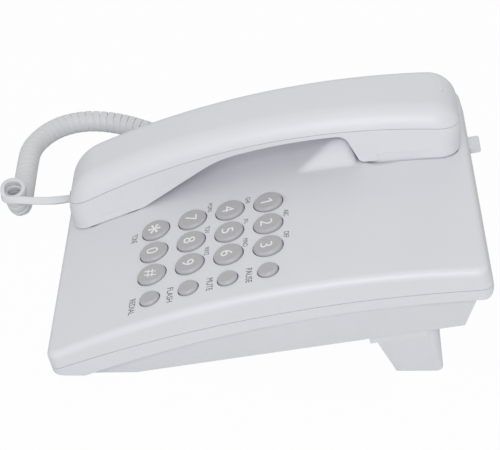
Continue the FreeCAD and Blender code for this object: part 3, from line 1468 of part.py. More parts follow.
def biarc(p0, t0, p1, t1):
    """Two arcs that join at a common tangent, as edges."""
    chord = p1 - p0
    total = t0 + t1
    spread = 2 * (1 - t0.dot(t1))
    cross = chord.dot(total)
    if spread < 1e-9:
        d = chord.Length ** 2 / (2 * cross)
    else:
        d = (-cross + math.sqrt(cross ** 2 + spread * chord.Length ** 2)) / spread
    middle = (p0 + p1 + (t0 - t1) * d) * 0.5
    return [tangent_arc(p0, middle, p0 + t0 * d), tangent_arc(middle, p1, p1 - t1 * d)]


def tangent_arc(start, end, vertex):
    centre = (start + end) * 0.5
    half = (end - start).Length / 2
    reach = (vertex - centre).Length
    if reach < 1e-6:
        return Part.makeLine(start, end)
    rise = half * math.tan(math.atan2(reach, half) / 2)
    return Part.Arc(start, centre + (vertex - centre) * (rise / reach), end).toShape()


def coil_points(route, phase):
    """Points and directions on the wound wire at every half turn."""
    steps = 4000
    ds = route.length / steps
    point, along, bend = route.at(0)
    across = Vector(math.cos(phase), math.sin(phase), 0)
    across = (across - along * across.dot(along)).normalize()
    turn = 0.0
    found = []
    marks = 0
    width = wire_side.value * math.sqrt(2) + coil_gap.value
    radius = coil_radius.value
    for i in range(steps + 1):
        s = i * ds
        point, along, bend = route.at(min(s, route.length))
        across = (across - along * across.dot(along)).normalize()
        side = along.cross(across)
        pitch = width / (1 - (radius + wire_side.value * 0.5) * bend.Length)
        out = across * math.cos(turn) + side * math.sin(turn)
        if turn >= marks * math.pi - 1e-9:
            rate = 2 * math.pi / pitch
            around = across * -math.sin(turn) + side * math.cos(turn)
            way = along * (1 - radius * out.dot(bend)) + around * (radius * rate)
            found.append((point + out * radius, way.normalize()))
            marks += 1
        turn += 2 * math.pi * ds / pitch
    return found


def make_coil(name, route, phase):
    found = coil_points(route, phase)
    run = cord_radius.value * 2
    start, start_way = found[0]
    end, end_way = found[-1]
    edges = [Part.makeLine(start - start_way * run, start)]
    for (p0, t0), (p1, t1) in zip(found, found[1:]):
        edges += biarc(p0, t0, p1, t1)
    edges.append(Part.makeLine(end, end + end_way * run))
    half = wire_side.value / 2
    first = start - start_way * run
    side = start_way.cross(Vector(0, 0, 1)).normalize()
    up = side.cross(start_way).normalize()
    ring = [first + side * (half * a) + up * (half * b) for a, b in ((-1, -1), (1, -1), (1, 1), (-1, 1))]
    profile = Part.makePolygon(ring + [ring[0]])
    solid = swept(edges, profile)
    new_feature(name, solid)
    samples = []
    for edge in edges[1:-1]:
        samples += edge.discretize(9)[:-1]
    per_turn = 32
    least = 1e9
    for i in range(0, len(samples) - per_turn // 2, 2):
        for j in range(i + per_turn // 2, min(i + per_turn * 3, len(samples))):
            least = min(least, (samples[i] - samples[j]).Length)
    length = sum(edge.Length for edge in edges)
    print("%s: %d turns on %.1f, wire %.0f, least gap to itself %.2f, volume %.0f against %.0f, valid %s" % (
        name, (len(found) - 1) // 2, route.length, length, least - wire_side.value * math.sqrt(2),
        solid.Volume, length * wire_side.value ** 2, solid.isValid()))
    return found, run


rest = coil_rest.value
top = Vector(ring_x.value, ring_y.value, ring_z.value)
coil_route = Route([
    top, Vector(ring_x.value - 5.8, ring_y.value + 2.6, rest), Vector(-84, -131.4, rest), Vector(-106, -131.3, rest),
    Vector(-129, -119.3, rest), Vector(-139.5, -101, rest), Vector(-131, -78, rest), Vector(-122, -55, rest),
    Vector(-111, -32, rest)], {1: 12.5})
found, run = make_coil("curly_cord", coil_route, 0.0)
first_point = found[0][0] - found[0][1] * run
last_point = found[-1][0] + found[-1][1] * run
plug_middle = handset_jack_w.value - 0.3
mouth = row_point(handset_x.value, (handset_front + jack_recess - plug_out).value, plug_middle)
out_way = row_point(0, -1, 0) - row_point(0, 0, 0)
approach = first_point - found[0][1] * 9.0
lead("handset_lead", Route([mouth, mouth + out_way * 9.0, approach, first_point]))
base_mouth = row_point(base_jack_x.value - plug_out.value, base_jack_v.value, base_jack_w.value - 0.3)
leave = last_point + found[-1][1] * 25.0
arrive = base_mouth - Vector(17, 0, 0)
lead("base_lead", Route([last_point, leave, (leave + arrive) * 0.5 + Vector(-2, 4, 1), arrive, base_mouth]))

# Checks and export
doc.recompute()
for item in doc.Objects:
    if "Invalid" in item.State or "Error" in item.State:
        raise RuntimeError("%s: %s" % (item.Label, item.State))
for item in nodes:
    if item.Shape.isNull() or not item.Shape.isValid():
        raise RuntimeError("bad shape: " + item.Label)
    item.Shape.exportStep("parts/%s.step" % item.Label)
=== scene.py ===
"""Corded desk telephone: the finish of every moulded piece, the curly handset cord, the printing, the floor,
the light and the camera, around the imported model."""

import math

import bpy
import numpy as np
from mathutils import Matrix, Vector


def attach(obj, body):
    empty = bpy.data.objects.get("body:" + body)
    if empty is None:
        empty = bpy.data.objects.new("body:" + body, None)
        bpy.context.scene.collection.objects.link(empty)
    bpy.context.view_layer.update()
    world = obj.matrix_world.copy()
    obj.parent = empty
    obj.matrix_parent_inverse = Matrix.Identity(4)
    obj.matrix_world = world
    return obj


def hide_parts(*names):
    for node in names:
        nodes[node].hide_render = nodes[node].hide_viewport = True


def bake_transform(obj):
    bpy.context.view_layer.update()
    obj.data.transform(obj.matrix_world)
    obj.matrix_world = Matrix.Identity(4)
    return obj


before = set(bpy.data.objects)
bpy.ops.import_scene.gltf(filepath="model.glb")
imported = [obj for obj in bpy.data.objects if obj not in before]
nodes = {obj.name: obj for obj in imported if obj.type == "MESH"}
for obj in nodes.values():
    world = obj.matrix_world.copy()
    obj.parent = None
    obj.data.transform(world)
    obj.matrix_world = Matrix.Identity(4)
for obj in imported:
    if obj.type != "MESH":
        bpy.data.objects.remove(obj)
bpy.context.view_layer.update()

# Places in the part's source, in mm: the base's tilt and rest line, the deck's arc and the keypad's middle
MM = 0.001
TILT = math.radians(11.5)
REST_LINE = 61.8
DECK_TOP, DECK_TOP_AT, DECK_RADIUS = 39.5, 92.0, 450.0
KEYPAD_X, KEYPAD_V = 7.2, 41.65
KEYPAD_SLOPE = math.asin((DECK_TOP_AT - KEYPAD_V) / DECK_RADIUS)


def from_case(x, v, w):
    """Case frame points in mm as row frame points in metres: turned about x by the tilt, then set back by the
    rest line."""
    x, v, w = np.broadcast_arrays(np.asarray(x, float), v, w)
    y = v * math.cos(TILT) - w * math.sin(TILT) - REST_LINE
    z = v * math.sin(TILT) + w * math.cos(TILT)
    return np.stack((x, y, z), axis=-1) * MM


def deck(v):
    """Height of the deck's arc at v: a circle of the deck's radius under its highest point."""
    return DECK_TOP - DECK_RADIUS + np.sqrt(DECK_RADIUS ** 2 - (v - DECK_TOP_AT) ** 2)


def from_deck(x, v, z):
    """Points of the deck as row frame points, z over it."""
    return from_case(x, v, deck(v) + z)


def from_keypad(x, y, z):
    """Points of the keypad's own frame as row frame points. The frame lies on the deck's tangent at its
    middle."""
    v = KEYPAD_V + y * math.cos(KEYPAD_SLOPE) - z * math.sin(KEYPAD_SLOPE)
    w = deck(KEYPAD_V) + y * math.sin(KEYPAD_SLOPE) + z * math.cos(KEYPAD_SLOPE)
    return from_case(KEYPAD_X + x, v, w)


# Camera: from the phone's right side and above, its lens given by its focal length in pixels
AZIMUTH, ELEVATION, ROLL = (math.radians(angle) for angle in (90.459, 37.0, 0.228))
LOOK_AT = Vector((0.0, -9.75, 33.3)) * MM
DISTANCE = 0.76405
SENSOR_WIDTH = 36.0
FOCAL_PIXELS, PICTURE_PIXELS = 1570.97, 500.0


def make_camera():
    back = Vector((math.sin(AZIMUTH) * math.cos(ELEVATION), -math.cos(AZIMUTH) * math.cos(ELEVATION),
                   math.sin(ELEVATION)))
    level = Vector((math.cos(AZIMUTH), math.sin(AZIMUTH), 0.0))
    upright = back.cross(level)
    right = level * math.cos(ROLL) + upright * math.sin(ROLL)
    up = upright * math.cos(ROLL) - level * math.sin(ROLL)
    data = bpy.data.cameras.new("camera")
    data.sensor_width = SENSOR_WIDTH
    data.lens = SENSOR_WIDTH * FOCAL_PIXELS / PICTURE_PIXELS
    data.clip_start, data.clip_end = 0.05, 20.0
    camera = bpy.data.objects.new("camera", data)
    camera.matrix_world = (Matrix.Translation(LOOK_AT + back * DISTANCE)
                           @ Matrix((right, up, back)).transposed().to_4x4())
    bpy.context.scene.collection.objects.link(camera)
    bpy.context.scene.camera = camera


make_camera()


# Nodes of a material
def srgb(code):
    """A hex sRGB colour as linear light with full alpha."""
    share = np.array([int(code[i:i + 2], 16) for i in (1, 3, 5)]) / 255.0
    linear = np.where(share <= 0.04045, share / 12.92, ((share + 0.055) / 1.055) ** 2.4)
    return (*linear.tolist(), 1.0)


def add(tree, kind, links=None, **settings):
    """Adds one node. A setting names a property or a socket, with _ for a space, and links say what feeds a
    socket."""
    node = tree.nodes.new(kind)
    for name, value in settings.items():
        if hasattr(node, name):
            setattr(node, name, value)
        else:
            node.inputs[name.replace("_", " ")].default_value = value
    for name, source in (links or {}).items():
        tree.links.new(source, node.inputs[name])
    return node


def new_material(name):
    material = bpy.data.materials.new(name)
    material.use_nodes = True
    material.node_tree.nodes.clear()
    return material, material.node_tree


def finish_material(tree, shader):
    add(tree, "ShaderNodeOutputMaterial", {"Surface": shader.outputs[0]})


def grained(name, low, high, roughness, grain_mm, depth_mm, mottle_mm=40.0, spread=0.06, **sockets):
    """A moulded surface: two close tones in a slow mottle, and the tool's grain as bump and as a roughness
    that varies by spread. Sizes are in millimetres on the object."""
    material, tree = new_material(name)
    where = add(tree, "ShaderNodeTexCoord").outputs["Object"]
    mottle = add(tree, "ShaderNodeTexNoise", {"Vector": where}, Scale=1 / (mottle_mm * MM), Detail=3.0)
    tone = add(tree, "ShaderNodeMix", {"Factor": mottle.outputs["Fac"]}, data_type="RGBA")
    for socket, code in (("A", low), ("B", high)):
        [s for s in tone.inputs if s.name == socket and s.type == "RGBA"][0].default_value = srgb(code)
    grain = add(tree, "ShaderNodeTexNoise", {"Vector": where}, Scale=1 / (grain_mm * MM), Detail=2.0)
    rough = add(tree, "ShaderNodeMapRange", {"Value": grain.outputs["Fac"]},
                To_Min=roughness - spread, To_Max=roughness + spread)
    bump = add(tree, "ShaderNodeBump", {"Height": grain.outputs["Fac"]}, Strength=0.5, Distance=depth_mm * MM)
    colour = [s for s in tone.outputs if s.type == "RGBA"][0]
    shader = add(tree, "ShaderNodeBsdfPrincipled", {
        "Base Color": colour, "Roughness": rough.outputs["Result"],
        "Normal": bump.outputs["Normal"]}, **sockets)
    finish_material(tree, shader)
    return material


def round_near(material, centre, reach, radius):
    """Shades a material's edges as rounded to a radius, within reach of a point on the object. The rounding
    fades over the last fifth of the reach. Sizes are in metres."""
    tree = material.node_tree
    sharp = add(tree, "ShaderNodeNewGeometry")
    soft = add(tree, "ShaderNodeBevel", samples=8, Radius=radius)
    away = add(tree, "ShaderNodeVectorMath", {0: add(tree, "ShaderNodeTexCoord").outputs["Object"]},
               operation="DISTANCE")
    away.inputs[1].default_value = centre
    share = add(tree, "ShaderNodeMapRange", {"Value": away.outputs["Value"]},
                From_Min=reach, From_Max=reach * 0.8)
    mixed = add(tree, "ShaderNodeMix", {0: share.outputs["Result"]}, data_type="VECTOR")
    ends = [s for s in mixed.inputs if s.type == "VECTOR" and s.enabled]
    tree.links.new(sharp.outputs["Normal"], ends[-2])
    tree.links.new(soft.outputs["Normal"], ends[-1])
    bump = [n for n in tree.nodes if n.bl_idname == "ShaderNodeBump"][0]
    tree.links.new([s for s in mixed.outputs if s.type == "VECTOR"][0], bump.inputs["Normal"])


def wear(names, material):
    """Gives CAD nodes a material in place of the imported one."""
    for name in names:
        for slot in nodes[name].material_slots:
            slot.material = material


# Cord sizes in mm: the coil, its flat wire with the power that squares its oval, and its gap to the desk. The
# pitch opens from one share of the coil's length over another, and the first turns flare by a little
COIL_RADIUS = 4.62
HALF_WIDE, HALF_THICK, OVAL_POWER = 2.0, 1.15, 0.36
DESK_GAP = 0.1
PITCH_TIGHT, PITCH_OPEN = 3.97, 4.2
OPENS_FROM, OPENS_OVER = 0.4, 0.3
RING_FLARE, RING_TURNS = 0.6, 1.2
# Cord route in mm, near the one of the part's source: the coil's control points from the handset's side on,
# the places by which the lead to the handset bends round the coil's end, and the lead to the base
COIL_REST = COIL_RADIUS + HALF_THICK + DESK_GAP
COIL_ROUTE = [(-43.6, -131.5, 23.0), (-45.6, -130.8, 13.6), (-49.4, -129.8, COIL_REST + 0.8),
              (-60.0, -130.2, COIL_REST), (-88.0, -131.2, COIL_REST), (-106.4, -131.2, COIL_REST),
              (-125.2, -120.6, COIL_REST), (-133.6, -103.6, COIL_REST), (-130.4, -83.0, COIL_REST),
              (-120.0, -64.0, COIL_REST), (-105.0, -32.0, COIL_REST)]
HANDSET_EXIT = np.array((-36.0, -100.7, 22.19))
BASE_EXIT = np.array((-71.4, 0.74, 23.65))
LEAD_STRAIGHT = 7.0
LEAD_SAG = np.array((0.5, 0.0, -1.0))
LEAD_RUN = np.array((1.0, 7.0, 0.6))
CORNER_CLEAR, CORNER_AHEAD = 1.2, 3.0
CORNER_BACK = np.array((0.0, 1.3, 0.0))
FIRST_TURN_RUN, LAST_TURN_RUN = 2.4, 3.0
LEAD_OUT = [(-100.0, -32.0, 10.5), (-91.5, -24.0, 16.5), (-87.0, -8.0, 21.5), (-82.0, 0.74, 23.65)]
# Cord facing: the way of the wire's wide side along the lead to the handset, at shares of its length, and the
# way it turns to in the first mm of the lead to the base
FACING_SHARES = (0.0, 0.3, 0.7, 1.0)
FACING_IN = ((-1.0, 0.0, 0.0), (-0.6, 0.0, 0.8), (-0.6, 0.0, 0.8))
FACING_OUT, FACING_OUT_OVER = np.array((0.0, -1.0, 0.0)), 40.0
# Cord fineness: steps along the coil's middle, and points in a turn, in each lead and round the oval
COIL_STEPS, TURN_POINTS, OVAL_POINTS = 4000, 30, 20
LEAD_IN_POINTS, LEAD_OUT_POINTS = 100, 90


def spline_line(corners):
    """The line of a quadratic NURBS curve through its first and last control points, as Blender draws it."""
    curve = bpy.data.curves.new("route", "CURVE")
    curve.dimensions = "3D"
    curve.resolution_u = 32
    spline = curve.splines.new("NURBS")
    spline.points.add(len(corners) - 1)
    spline.points.foreach_set("co", np.c_[np.array(corners, float), np.ones(len(corners))].ravel())
    spline.order_u = 3
    spline.use_endpoint_u = True
    holder = bpy.data.objects.new("route", curve)
    mesh = bpy.data.meshes.new_from_object(holder)
    line = np.empty(len(mesh.vertices) * 3)
    mesh.vertices.foreach_get("co", line)
    bpy.data.objects.remove(holder)
    bpy.data.curves.remove(curve)
    bpy.data.meshes.remove(mesh)
    return line.reshape(-1, 3)


def unit(a):
    return a / np.linalg.norm(a, axis=-1, keepdims=True)


def lengths(line):
    """Arc length at each point of a line."""
    return np.concatenate(([0.0], np.cumsum(np.linalg.norm(np.diff(line, axis=0), axis=1))))


def rows_at(at, known, rows):
    """Rows of three numbers at new places, straight between the rows at known places."""
    return np.stack([np.interp(at, known, rows[:, k]) for k in range(3)], axis=1)


def along_line(line, count):
    """A line's points at even steps of its length."""
    s = lengths(line)
    return rows_at(np.linspace(0, s[-1], count), s, line)


def carried(ways, first):
    """A direction square to each of a line's ways, carried along it without twist."""
    result = [unit(first - ways[0] * (first @ ways[0]))]
    for way in ways[1:]:
        last = result[-1]
        result.append(unit(last - way * (last @ way)))
    return np.array(result)


def wound(line, first_across):
    """A helix about a line: radius * (cos(a) across + sin(a) side) added to the line's point, where the angle
    a grows by one turn per pitch. The pitch is tight at the start, where the turns touch, and opens towards
    the end, and the radius is a little larger in the first turn. Returns the wire's points and the coil's own
    direction at each."""
    centre = along_line(line, COIL_STEPS)
    total = lengths(line)[-1]
    s = np.linspace(0, total, COIL_STEPS)
    way = unit(np.gradient(centre, axis=0))
    open_share = np.clip((s / total - OPENS_FROM) / OPENS_OVER, 0, 1)
    pitch = PITCH_TIGHT + (PITCH_OPEN - PITCH_TIGHT) * open_share
    angle = np.cumsum(2 * math.pi / pitch) * (total / COIL_STEPS)
    angle -= angle[0]
    turns = math.floor(angle[-1] / (2 * math.pi))
    angle *= turns * 2 * math.pi / angle[-1]
    across = carried(way, np.array(first_across, float))
    side = np.cross(way, across)
    fine = np.linspace(0, angle[-1], turns * TURN_POINTS + 1)
    at = np.interp(fine, angle, s)
    centre, way, across, side = (rows_at(at, s, a) for a in (centre, way, across, side))
    out = np.cos(fine)[:, None] * across + np.sin(fine)[:, None] * side
    radius = COIL_RADIUS + RING_FLARE * np.clip(RING_TURNS - fine / (2 * math.pi), 0, 1)
    return centre + radius[:, None] * out, way


def cord_path():
    """The whole cord's centreline in mm from the handset's plug to the base's, and the way its wide side
    faces. The lead from the handset runs under the coil's open end and wraps its near side before it becomes
    a turn."""
    coil, coil_way = wound(spline_line(COIL_ROUTE), (0, -1, 0))
    first = unit(coil[1] - coil[0])
    last = unit(coil[-1] - coil[-2])
    out_way = np.array((0.0, -math.cos(TILT), -math.sin(TILT)))
    corner = coil[0] - first * (COIL_RADIUS + CORNER_CLEAR) + coil_way[0] * CORNER_AHEAD + CORNER_BACK
    lead_in = along_line(spline_line([
        HANDSET_EXIT, HANDSET_EXIT + out_way * LEAD_STRAIGHT, (HANDSET_EXIT + corner) / 2 + LEAD_SAG,
        corner + LEAD_RUN, corner, coil[0] - first * FIRST_TURN_RUN, coil[0]]), LEAD_IN_POINTS)[:-1]
    lead_out = along_line(spline_line([
        coil[-1], coil[-1] + last * LAST_TURN_RUN, *LEAD_OUT, BASE_EXIT]), LEAD_OUT_POINTS)[1:]
    share_in = lengths(lead_in) / lengths(lead_in)[-1]
    wide_in = rows_at(share_in, FACING_SHARES, np.array((*FACING_IN, -coil_way[0])))
    turned = np.clip(lengths(lead_out) / FACING_OUT_OVER, 0, 1)[:, None]
    wide_out = turned * FACING_OUT - (1 - turned) * coil_way[-1]
    path = np.concatenate((lead_in, coil, lead_out))
    wide = np.concatenate((wide_in, -coil_way, wide_out))
    return path, wide


def mesh_piece(name, points, faces, material, smooth=True):
    """A new piece from points in metres and faces given by their points' numbers."""
    mesh = bpy.data.meshes.new(name)
    mesh.from_pydata(points.tolist(), [], [list(map(int, face)) for face in faces])
    mesh.polygons.foreach_set("use_smooth", np.full(len(mesh.polygons), smooth))
    mesh.materials.append(material)
    mesh.validate()
    mesh.update()
    piece = bpy.data.objects.new(name, mesh)
    bpy.context.scene.collection.objects.link(piece)
    return piece


def oval_tube(name, path, wide, material):
    """A flat oval carried along a path. Round the oval, at angle a, a point stands off the path by half the
    width times p(cos a) along the wide side and half the thickness times p(sin a) square to it, where p keeps
    the sign and takes a power that squares the oval off. A fan of triangles closes each end."""
    way = unit(np.gradient(path, axis=0))
    wide = unit(wide - way * np.sum(wide * way, axis=1, keepdims=True))
    thick = np.cross(way, wide)
    a = np.linspace(0, 2 * math.pi, OVAL_POINTS, endpoint=False)
    along_wide, along_thick = (np.sign(f) * np.abs(f) ** OVAL_POWER for f in (np.cos(a), np.sin(a)))
    grid = (path[:, None] + HALF_WIDE * along_wide[None, :, None] * wide[:, None]
            + HALF_THICK * along_thick[None, :, None] * thick[:, None])
    points = np.concatenate((grid.reshape(-1, 3), path[:1], path[-1:])) * MM
    rows = len(path)
    first_middle, last_middle = rows * OVAL_POINTS, rows * OVAL_POINTS + 1
    row = np.arange(rows - 1)[:, None] * OVAL_POINTS
    here = np.arange(OVAL_POINTS)[None]
    after = (here + 1) % OVAL_POINTS
    quads = np.stack((row + here, row + after, row + OVAL_POINTS + after, row + OVAL_POINTS + here),
                     axis=-1).reshape(-1, 4)
    start = np.stack((after[0], here[0], np.full(OVAL_POINTS, first_middle)), axis=-1)
    last_row = (rows - 1) * OVAL_POINTS
    end = np.stack((here[0] + last_row, after[0] + last_row, np.full(OVAL_POINTS, last_middle)), axis=-1)
    return mesh_piece(name, points, [*quads, *start, *end], material)


# Cord sheath: soft PVC, extruded flat and set in its curl by heat, which leaves it satin with a faint bloom
sheath = grained("pvc sheath, extruded satin", "#D8DADC", "#DFE1E3", 0.46, 0.9, 0.02, mottle_mm=14.0)
path, wide = cord_path()
cord = oval_tube("handset_cord", path, wide, sheath)
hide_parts("curly_cord", "handset_lead", "base_lead")
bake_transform(cord)
wear(("curly_cord", "handset_lead", "base_lead"), sheath)

# Cabinet and handset: ABS, moulded in a spark-eroded tool, whose fine matt grain breaks up the shine. The
# real grain is about 0.1 mm, and it is drawn at 0.7 mm so that a trace of it shows
WHITE_ABS = {"low": "#DEDFE4", "high": "#E2E3E8", "roughness": 0.42, "grain_mm": 0.7, "depth_mm": 0.012}
wear(("lower_cabinet", "desk_stand", "handset_outer_shell", "handset_inner_shell", "hook_plunger",
      "ringer_switch_knob"), grained("white abs, spark eroded grain", **WHITE_ABS))
# Deck: the same ABS and grain, and the shoulder between the wells runs into it with a soft radius
deck_abs = grained("white abs, deck", **WHITE_ABS)
round_near(deck_abs, centre=(-0.030, 0.025, 0.050), reach=0.045, radius=0.005)
wear(("upper_cabinet",), deck_abs)


def key_material_with_painted_top_shade():
    """Grey ABS key, moulded with a fine satin grain. Its flat top is painted a little darker than its bevel
    and sides.
    This is painted shade, in place of the shade of a dished top. The top is found by its normal, which is the
    keypad's."""
    material, tree = new_material("grey abs, moulded key, painted top shade")
    where = add(tree, "ShaderNodeTexCoord").outputs["Object"]
    facing = unit(from_keypad(0, 0, 1.0) - from_keypad(0, 0, 0.0))
    straight = add(tree, "ShaderNodeVectorMath", {0: add(tree, "ShaderNodeNewGeometry").outputs["Normal"]},
                   operation="DOT_PRODUCT")
    straight.inputs[1].default_value = facing.tolist()
    # Painted shade: faces that look the keypad's way, the key's top, get the darker of the two greys
    top = add(tree, "ShaderNodeMapRange", {"Value": straight.outputs["Value"]}, From_Min=0.88, From_Max=0.99)
    tone = add(tree, "ShaderNodeMixRGB", {"Fac": top.outputs["Result"]},
               Color1=srgb("#B8B7BB"), Color2=srgb("#B5B4B7"))
    grain = add(tree, "ShaderNodeTexNoise", {"Vector": where}, Scale=1 / (0.6 * MM), Detail=2.0)
    rough = add(tree, "ShaderNodeMapRange", {"Value": grain.outputs["Fac"]}, To_Min=0.36, To_Max=0.46)
    bump = add(tree, "ShaderNodeBump", {"Height": grain.outputs["Fac"]}, Strength=0.4, Distance=0.01 * MM)
    shader = add(tree, "ShaderNodeBsdfPrincipled", {
        "Base Color": tone.outputs["Color"], "Roughness": rough.outputs["Result"],
        "Normal": bump.outputs["Normal"]})
    finish_material(tree, shader)
    return material


wear([name for name in nodes if name.startswith("key_")], key_material_with_painted_top_shade())
# Feet, boot and membrane: silicone and EPDM rubber, matt from the mould
wear(("front_feet", "stand_feet", "keypad_membrane", "microphone_boot"),
     grained("grey rubber, moulded matt", "#77797B", "#818385", 0.78, 0.9, 0.03))
# Gasket: open-cell polyurethane foam, cut from sheet, with its pores open
wear(("receiver_gasket",),
     grained("polyurethane foam, cut sheet", "#3C3D40", "#5A5B5E", 0.95, 0.8, 0.25, 2.0))
# Boards: paper phenolic laminate, pressed and punched, faintly fibrous
wear(("keypad_board", "main_board"),
     grained("paper phenolic, punched", "#A9773F", "#BC8B50", 0.5, 0.5, 0.02, 3.0))
# Screws, ballast and handset weight: steel, zinc plated, with a slightly uneven passivated shine
wear(("case_screws", "keypad_screws", "main_board_screws", "handset_screws", "ballast_plate",
      "handset_weight"),
     grained("steel, zinc plated", "#A9ABAE", "#B9BBBD", 0.34, 0.8, 0.01, 6.0, Metallic=1.0))
# Microphone can: drawn aluminium, faintly satin from the draw
wear(("microphone_capsule",),
     grained("aluminium, drawn", "#C2C3C5", "#CDCED0", 0.3, 0.6, 0.006, 5.0, Metallic=1.0))
# Jacks, switches, receiver and ringer: black nylon with a dull moulded face
wear(("base_handset_jack", "handset_jack", "line_jack", "hook_switch", "ringer_switch_body",
      "receiver_capsule", "ringer", "board_components"),
     grained("black nylon, moulded", "#1B1C1E", "#242527", 0.5, 0.6, 0.02, 8.0))
# Plugs: clear polycarbonate, moulded and polished
wear(("handset_plug", "base_plug"),
     grained("clear polycarbonate", "#E9EDEE", "#F2F5F6", 0.12, 1.5, 0.004, 10.0, spread=0.03, IOR=1.585,
             Transmission_Weight=0.9))

# Printing: the ink's lower and upper side over the surface in mm, and a caption's width against its font's
INK_LOW, INK_HIGH = -0.05, 0.03
CAPTION_STRETCH = 1.14
# The figure one, a stem with a short flag, in heights of a capital
FIGURE_ONE = ((0.0, 0.0), (0.1, 0.0), (0.1, 0.72), (0.0, 0.72), (-0.2, 0.56), (-0.2, 0.46), (0.0, 0.6))


def outlined(text, thin):
    """A word as a filled curve, one unit thick. The built-in font draws it, with its strokes thinned, and the
    figure one has its own outline."""
    if text == "1":
        curve = bpy.data.curves.new(text, "CURVE")
        curve.dimensions = "2D"
        curve.fill_mode = "BOTH"
        stem = curve.splines.new("POLY")
        stem.points.add(len(FIGURE_ONE) - 1)
        stem.points.foreach_set("co", [n for x, y in FIGURE_ONE for n in (x, y, 0.0, 1.0)])
        stem.use_cyclic_u = True
    else:
        curve = bpy.data.curves.new(text, "FONT")
        curve.body = text
        curve.size = 1.0
        curve.offset = -thin
        curve.resolution_u = 6
    curve.extrude = 0.5
    return curve


def printed(text, thin):
    """The points of a word's thick print about its own middle, its faces and its size."""
    curve = outlined(text, thin)
    holder = bpy.data.objects.new(text, curve)
    mesh = bpy.data.meshes.new_from_object(holder)
    bpy.data.objects.remove(holder)
    bpy.data.curves.remove(curve)
    points = np.empty(len(mesh.vertices) * 3)
    mesh.vertices.foreach_get("co", points)
    points = points.reshape(-1, 3)
    faces = [tuple(p.vertices) for p in mesh.polygons]
    bpy.data.meshes.remove(mesh)
    low, high = points.min(0), points.max(0)
    return points - (low + high) / 2, faces, high - low


def print_piece(name, words, place, material, body):
    """Prints words on a surface. Each word is (text, x, y, height, width or None, thin): its print is scaled
    to that height and width in mm and laid at (x, y) by place, from a little under the surface to a little
    over it."""
    all_points, all_faces, count = [], [], 0
    for text, x, y, height, width, thin in words:
        points, faces, size = printed(text, thin)
        scale = height / size[1]
        stretch = width / size[0] if width else scale * CAPTION_STRETCH
        level = (INK_LOW + INK_HIGH) / 2 + points[:, 2] * (INK_HIGH - INK_LOW)
        all_points.append(place(x + points[:, 0] * stretch, y + points[:, 1] * scale, level))
        all_faces += [[i + count for i in face] for face in faces]
        count += len(points)
    piece = mesh_piece(name, np.concatenate(all_points), all_faces, material, smooth=False)
    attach(piece, body)


def ink(name, code):
    """Pad-printed ink: flat colour with a faint unevenness where the film is thin."""
    return grained(name, code, code, 0.55, 0.5, 0.004, spread=0.04)


white_ink = ink("white pad printing ink", "#F4F5F5")
grey_ink = ink("dark grey pad printing ink", "#58595C")

# Captions of the digit keys, in mm in the keypad's frame: rows from the rear with the height of their key
# tops, columns from the left, and each look as the print's height and how much its strokes are thinned
ROWS = ((28.275, 0.811, "123"), (9.425, 1.601, "456"), (-9.425, 1.601, "789"), (-28.275, 0.811, "*0#"))
COLUMNS = (0.0, 17.05, 34.1)
KEY_WORDS = {"*": "star", "#": "hash"}
CAPTION_SHIFT = 0.3
CAPTION_LOOK, STAR_LOOK = (5.8, 0.006), (6.3, -0.01)
for row, top, captions in ROWS:
    for column, caption in zip(COLUMNS, captions):
        word = KEY_WORDS.get(caption, caption)
        height, thin = STAR_LOOK if caption == "*" else CAPTION_LOOK
        print_piece("caption_" + word,
                    [(caption, column + CAPTION_SHIFT, row - CAPTION_SHIFT, height, None, thin)],
                    lambda x, y, z, top=top: from_keypad(x, y, top + z), white_ink, "key_%s_body" % word)

# Words on the deck, in mm: (word, left, right, middle v), for the letters over the keys and for the functions
LETTERS = (("GHI", -0.7, 4.0, 59.8), ("ABC", 15.3, 20.3, 78.5), ("DEF", 32.3, 36.9, 78.5),
           ("JKL", 16.2, 20.1, 59.0), ("MNO", 31.6, 37.6, 59.0), ("PQRS", -2.8, 4.0, 40.7),
           ("TUV", 15.2, 20.4, 40.0), ("WXYZ", 31.3, 37.4, 40.3))
FUNCTIONS = (("TONE", 4.9, 11.7, 2.5), ("REDIAL", 55.1, 66.0, 5.0), ("FLASH", 54.7, 65.0, 23.5),
             ("MUTE", 55.2, 64.0, 42.5), ("PAUSE", 54.4, 64.7, 61.0))
LETTERS_HEIGHT, FUNCTIONS_HEIGHT = 2.4, 3.0
LEGEND_THIN = 0.002
print_piece("key_legends", [(word, (left + right) / 2, v, height, right - left, LEGEND_THIN)
                            for height, words in ((LETTERS_HEIGHT, LETTERS), (FUNCTIONS_HEIGHT, FUNCTIONS))
                            for word, left, right, v in words], from_deck, grey_ink, "base")

# Stage: a pale floor that the camera sees white, with the object's shadow faint on it. It lies a little lower
# than the feet and is in metres
FLOOR_HALF, FLOOR_DROP = 3.0, 0.0002
FLOOR_WHITE = 0.97


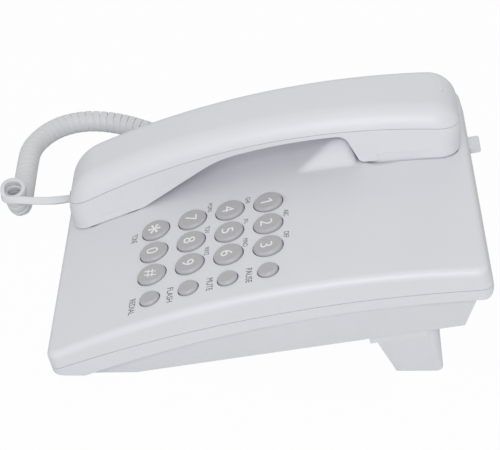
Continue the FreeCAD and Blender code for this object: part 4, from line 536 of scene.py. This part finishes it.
def make_floor():
    points = np.array([(-1, -1, 0), (1, -1, 0), (1, 1, 0), (-1, 1, 0)]) * FLOOR_HALF - (0, 0, FLOOR_DROP)
    material, tree = new_material("pale floor")
    where = add(tree, "ShaderNodeTexCoord").outputs["Object"]
    cloud = add(tree, "ShaderNodeTexNoise", {"Vector": where}, Scale=3.0)
    tone = add(tree, "ShaderNodeMixRGB", {"Fac": cloud.outputs["Fac"]},
               Color1=srgb("#D9D9D9"), Color2=srgb("#DCDCDC"))
    matt = add(tree, "ShaderNodeBsdfDiffuse", {"Color": tone.outputs["Color"]})
    glow = add(tree, "ShaderNodeEmission", Color=(1, 1, 1, 1), Strength=1.0)
    rays = add(tree, "ShaderNodeLightPath")
    seen = add(tree, "ShaderNodeMath", {0: rays.outputs["Is Camera Ray"]}, operation="MULTIPLY")
    seen.inputs[1].default_value = FLOOR_WHITE
    finish_material(tree, add(tree, "ShaderNodeMixShader", {
        0: seen.outputs[0], 1: matt.outputs[0], 2: glow.outputs[0]}))
    floor = mesh_piece("floor", points, [(0, 1, 2, 3)], material, smooth=False)


# Light: a pale room, and lamps aimed at the phone, each (name, place, size, watts), in metres
ROOM_LEVEL = 0.6
LAMP_AIM = Vector((0.0, 0.0, 0.03))
LAMPS = (("softbox_front", Vector((1.05, -0.1, 0.86)), 0.6, 6.4),
         ("softbox_left", Vector((-1.1, 0.0, 0.55)), 0.9, 0.5),
         ("strip_corner", Vector((1.25, 0.35, 0.75)), 0.12, 0.35))


def make_world():
    """Even light from all sides at the room's level, which the camera, reflections and clear pieces see
    white."""
    world = bpy.data.worlds.new("studio")
    world.use_nodes = True
    tree = world.node_tree
    tree.nodes.clear()
    rays = add(tree, "ShaderNodeLightPath")
    seen = rays.outputs["Is Camera Ray"]
    for kind in ("Is Glossy Ray", "Is Transmission Ray"):
        seen = add(tree, "ShaderNodeMath", {0: seen, 1: rays.outputs[kind]}, operation="MAXIMUM").outputs[0]
    level = add(tree, "ShaderNodeMapRange", {"Value": seen}, To_Min=ROOM_LEVEL, To_Max=1.0)
    sky = add(tree, "ShaderNodeBackground", {"Strength": level.outputs["Result"]}, Color=(1, 1, 1, 1))
    add(tree, "ShaderNodeOutputWorld", {"Surface": sky.outputs[0]})
    bpy.context.scene.world = world


def make_lamp(name, place, size, watts):
    data = bpy.data.lights.new(name, "AREA")
    data.shape = "SQUARE"
    data.size = size
    data.energy = watts
    lamp = bpy.data.objects.new(name, data)
    lamp.matrix_world = (Matrix.Translation(place)
                         @ (LAMP_AIM - place).to_track_quat("-Z", "Y").to_matrix().to_4x4())
    bpy.context.scene.collection.objects.link(lamp)


make_floor()
make_world()
for lamp in LAMPS:
    make_lamp(*lamp)
bpy.context.scene.view_settings.view_transform = "Standard"
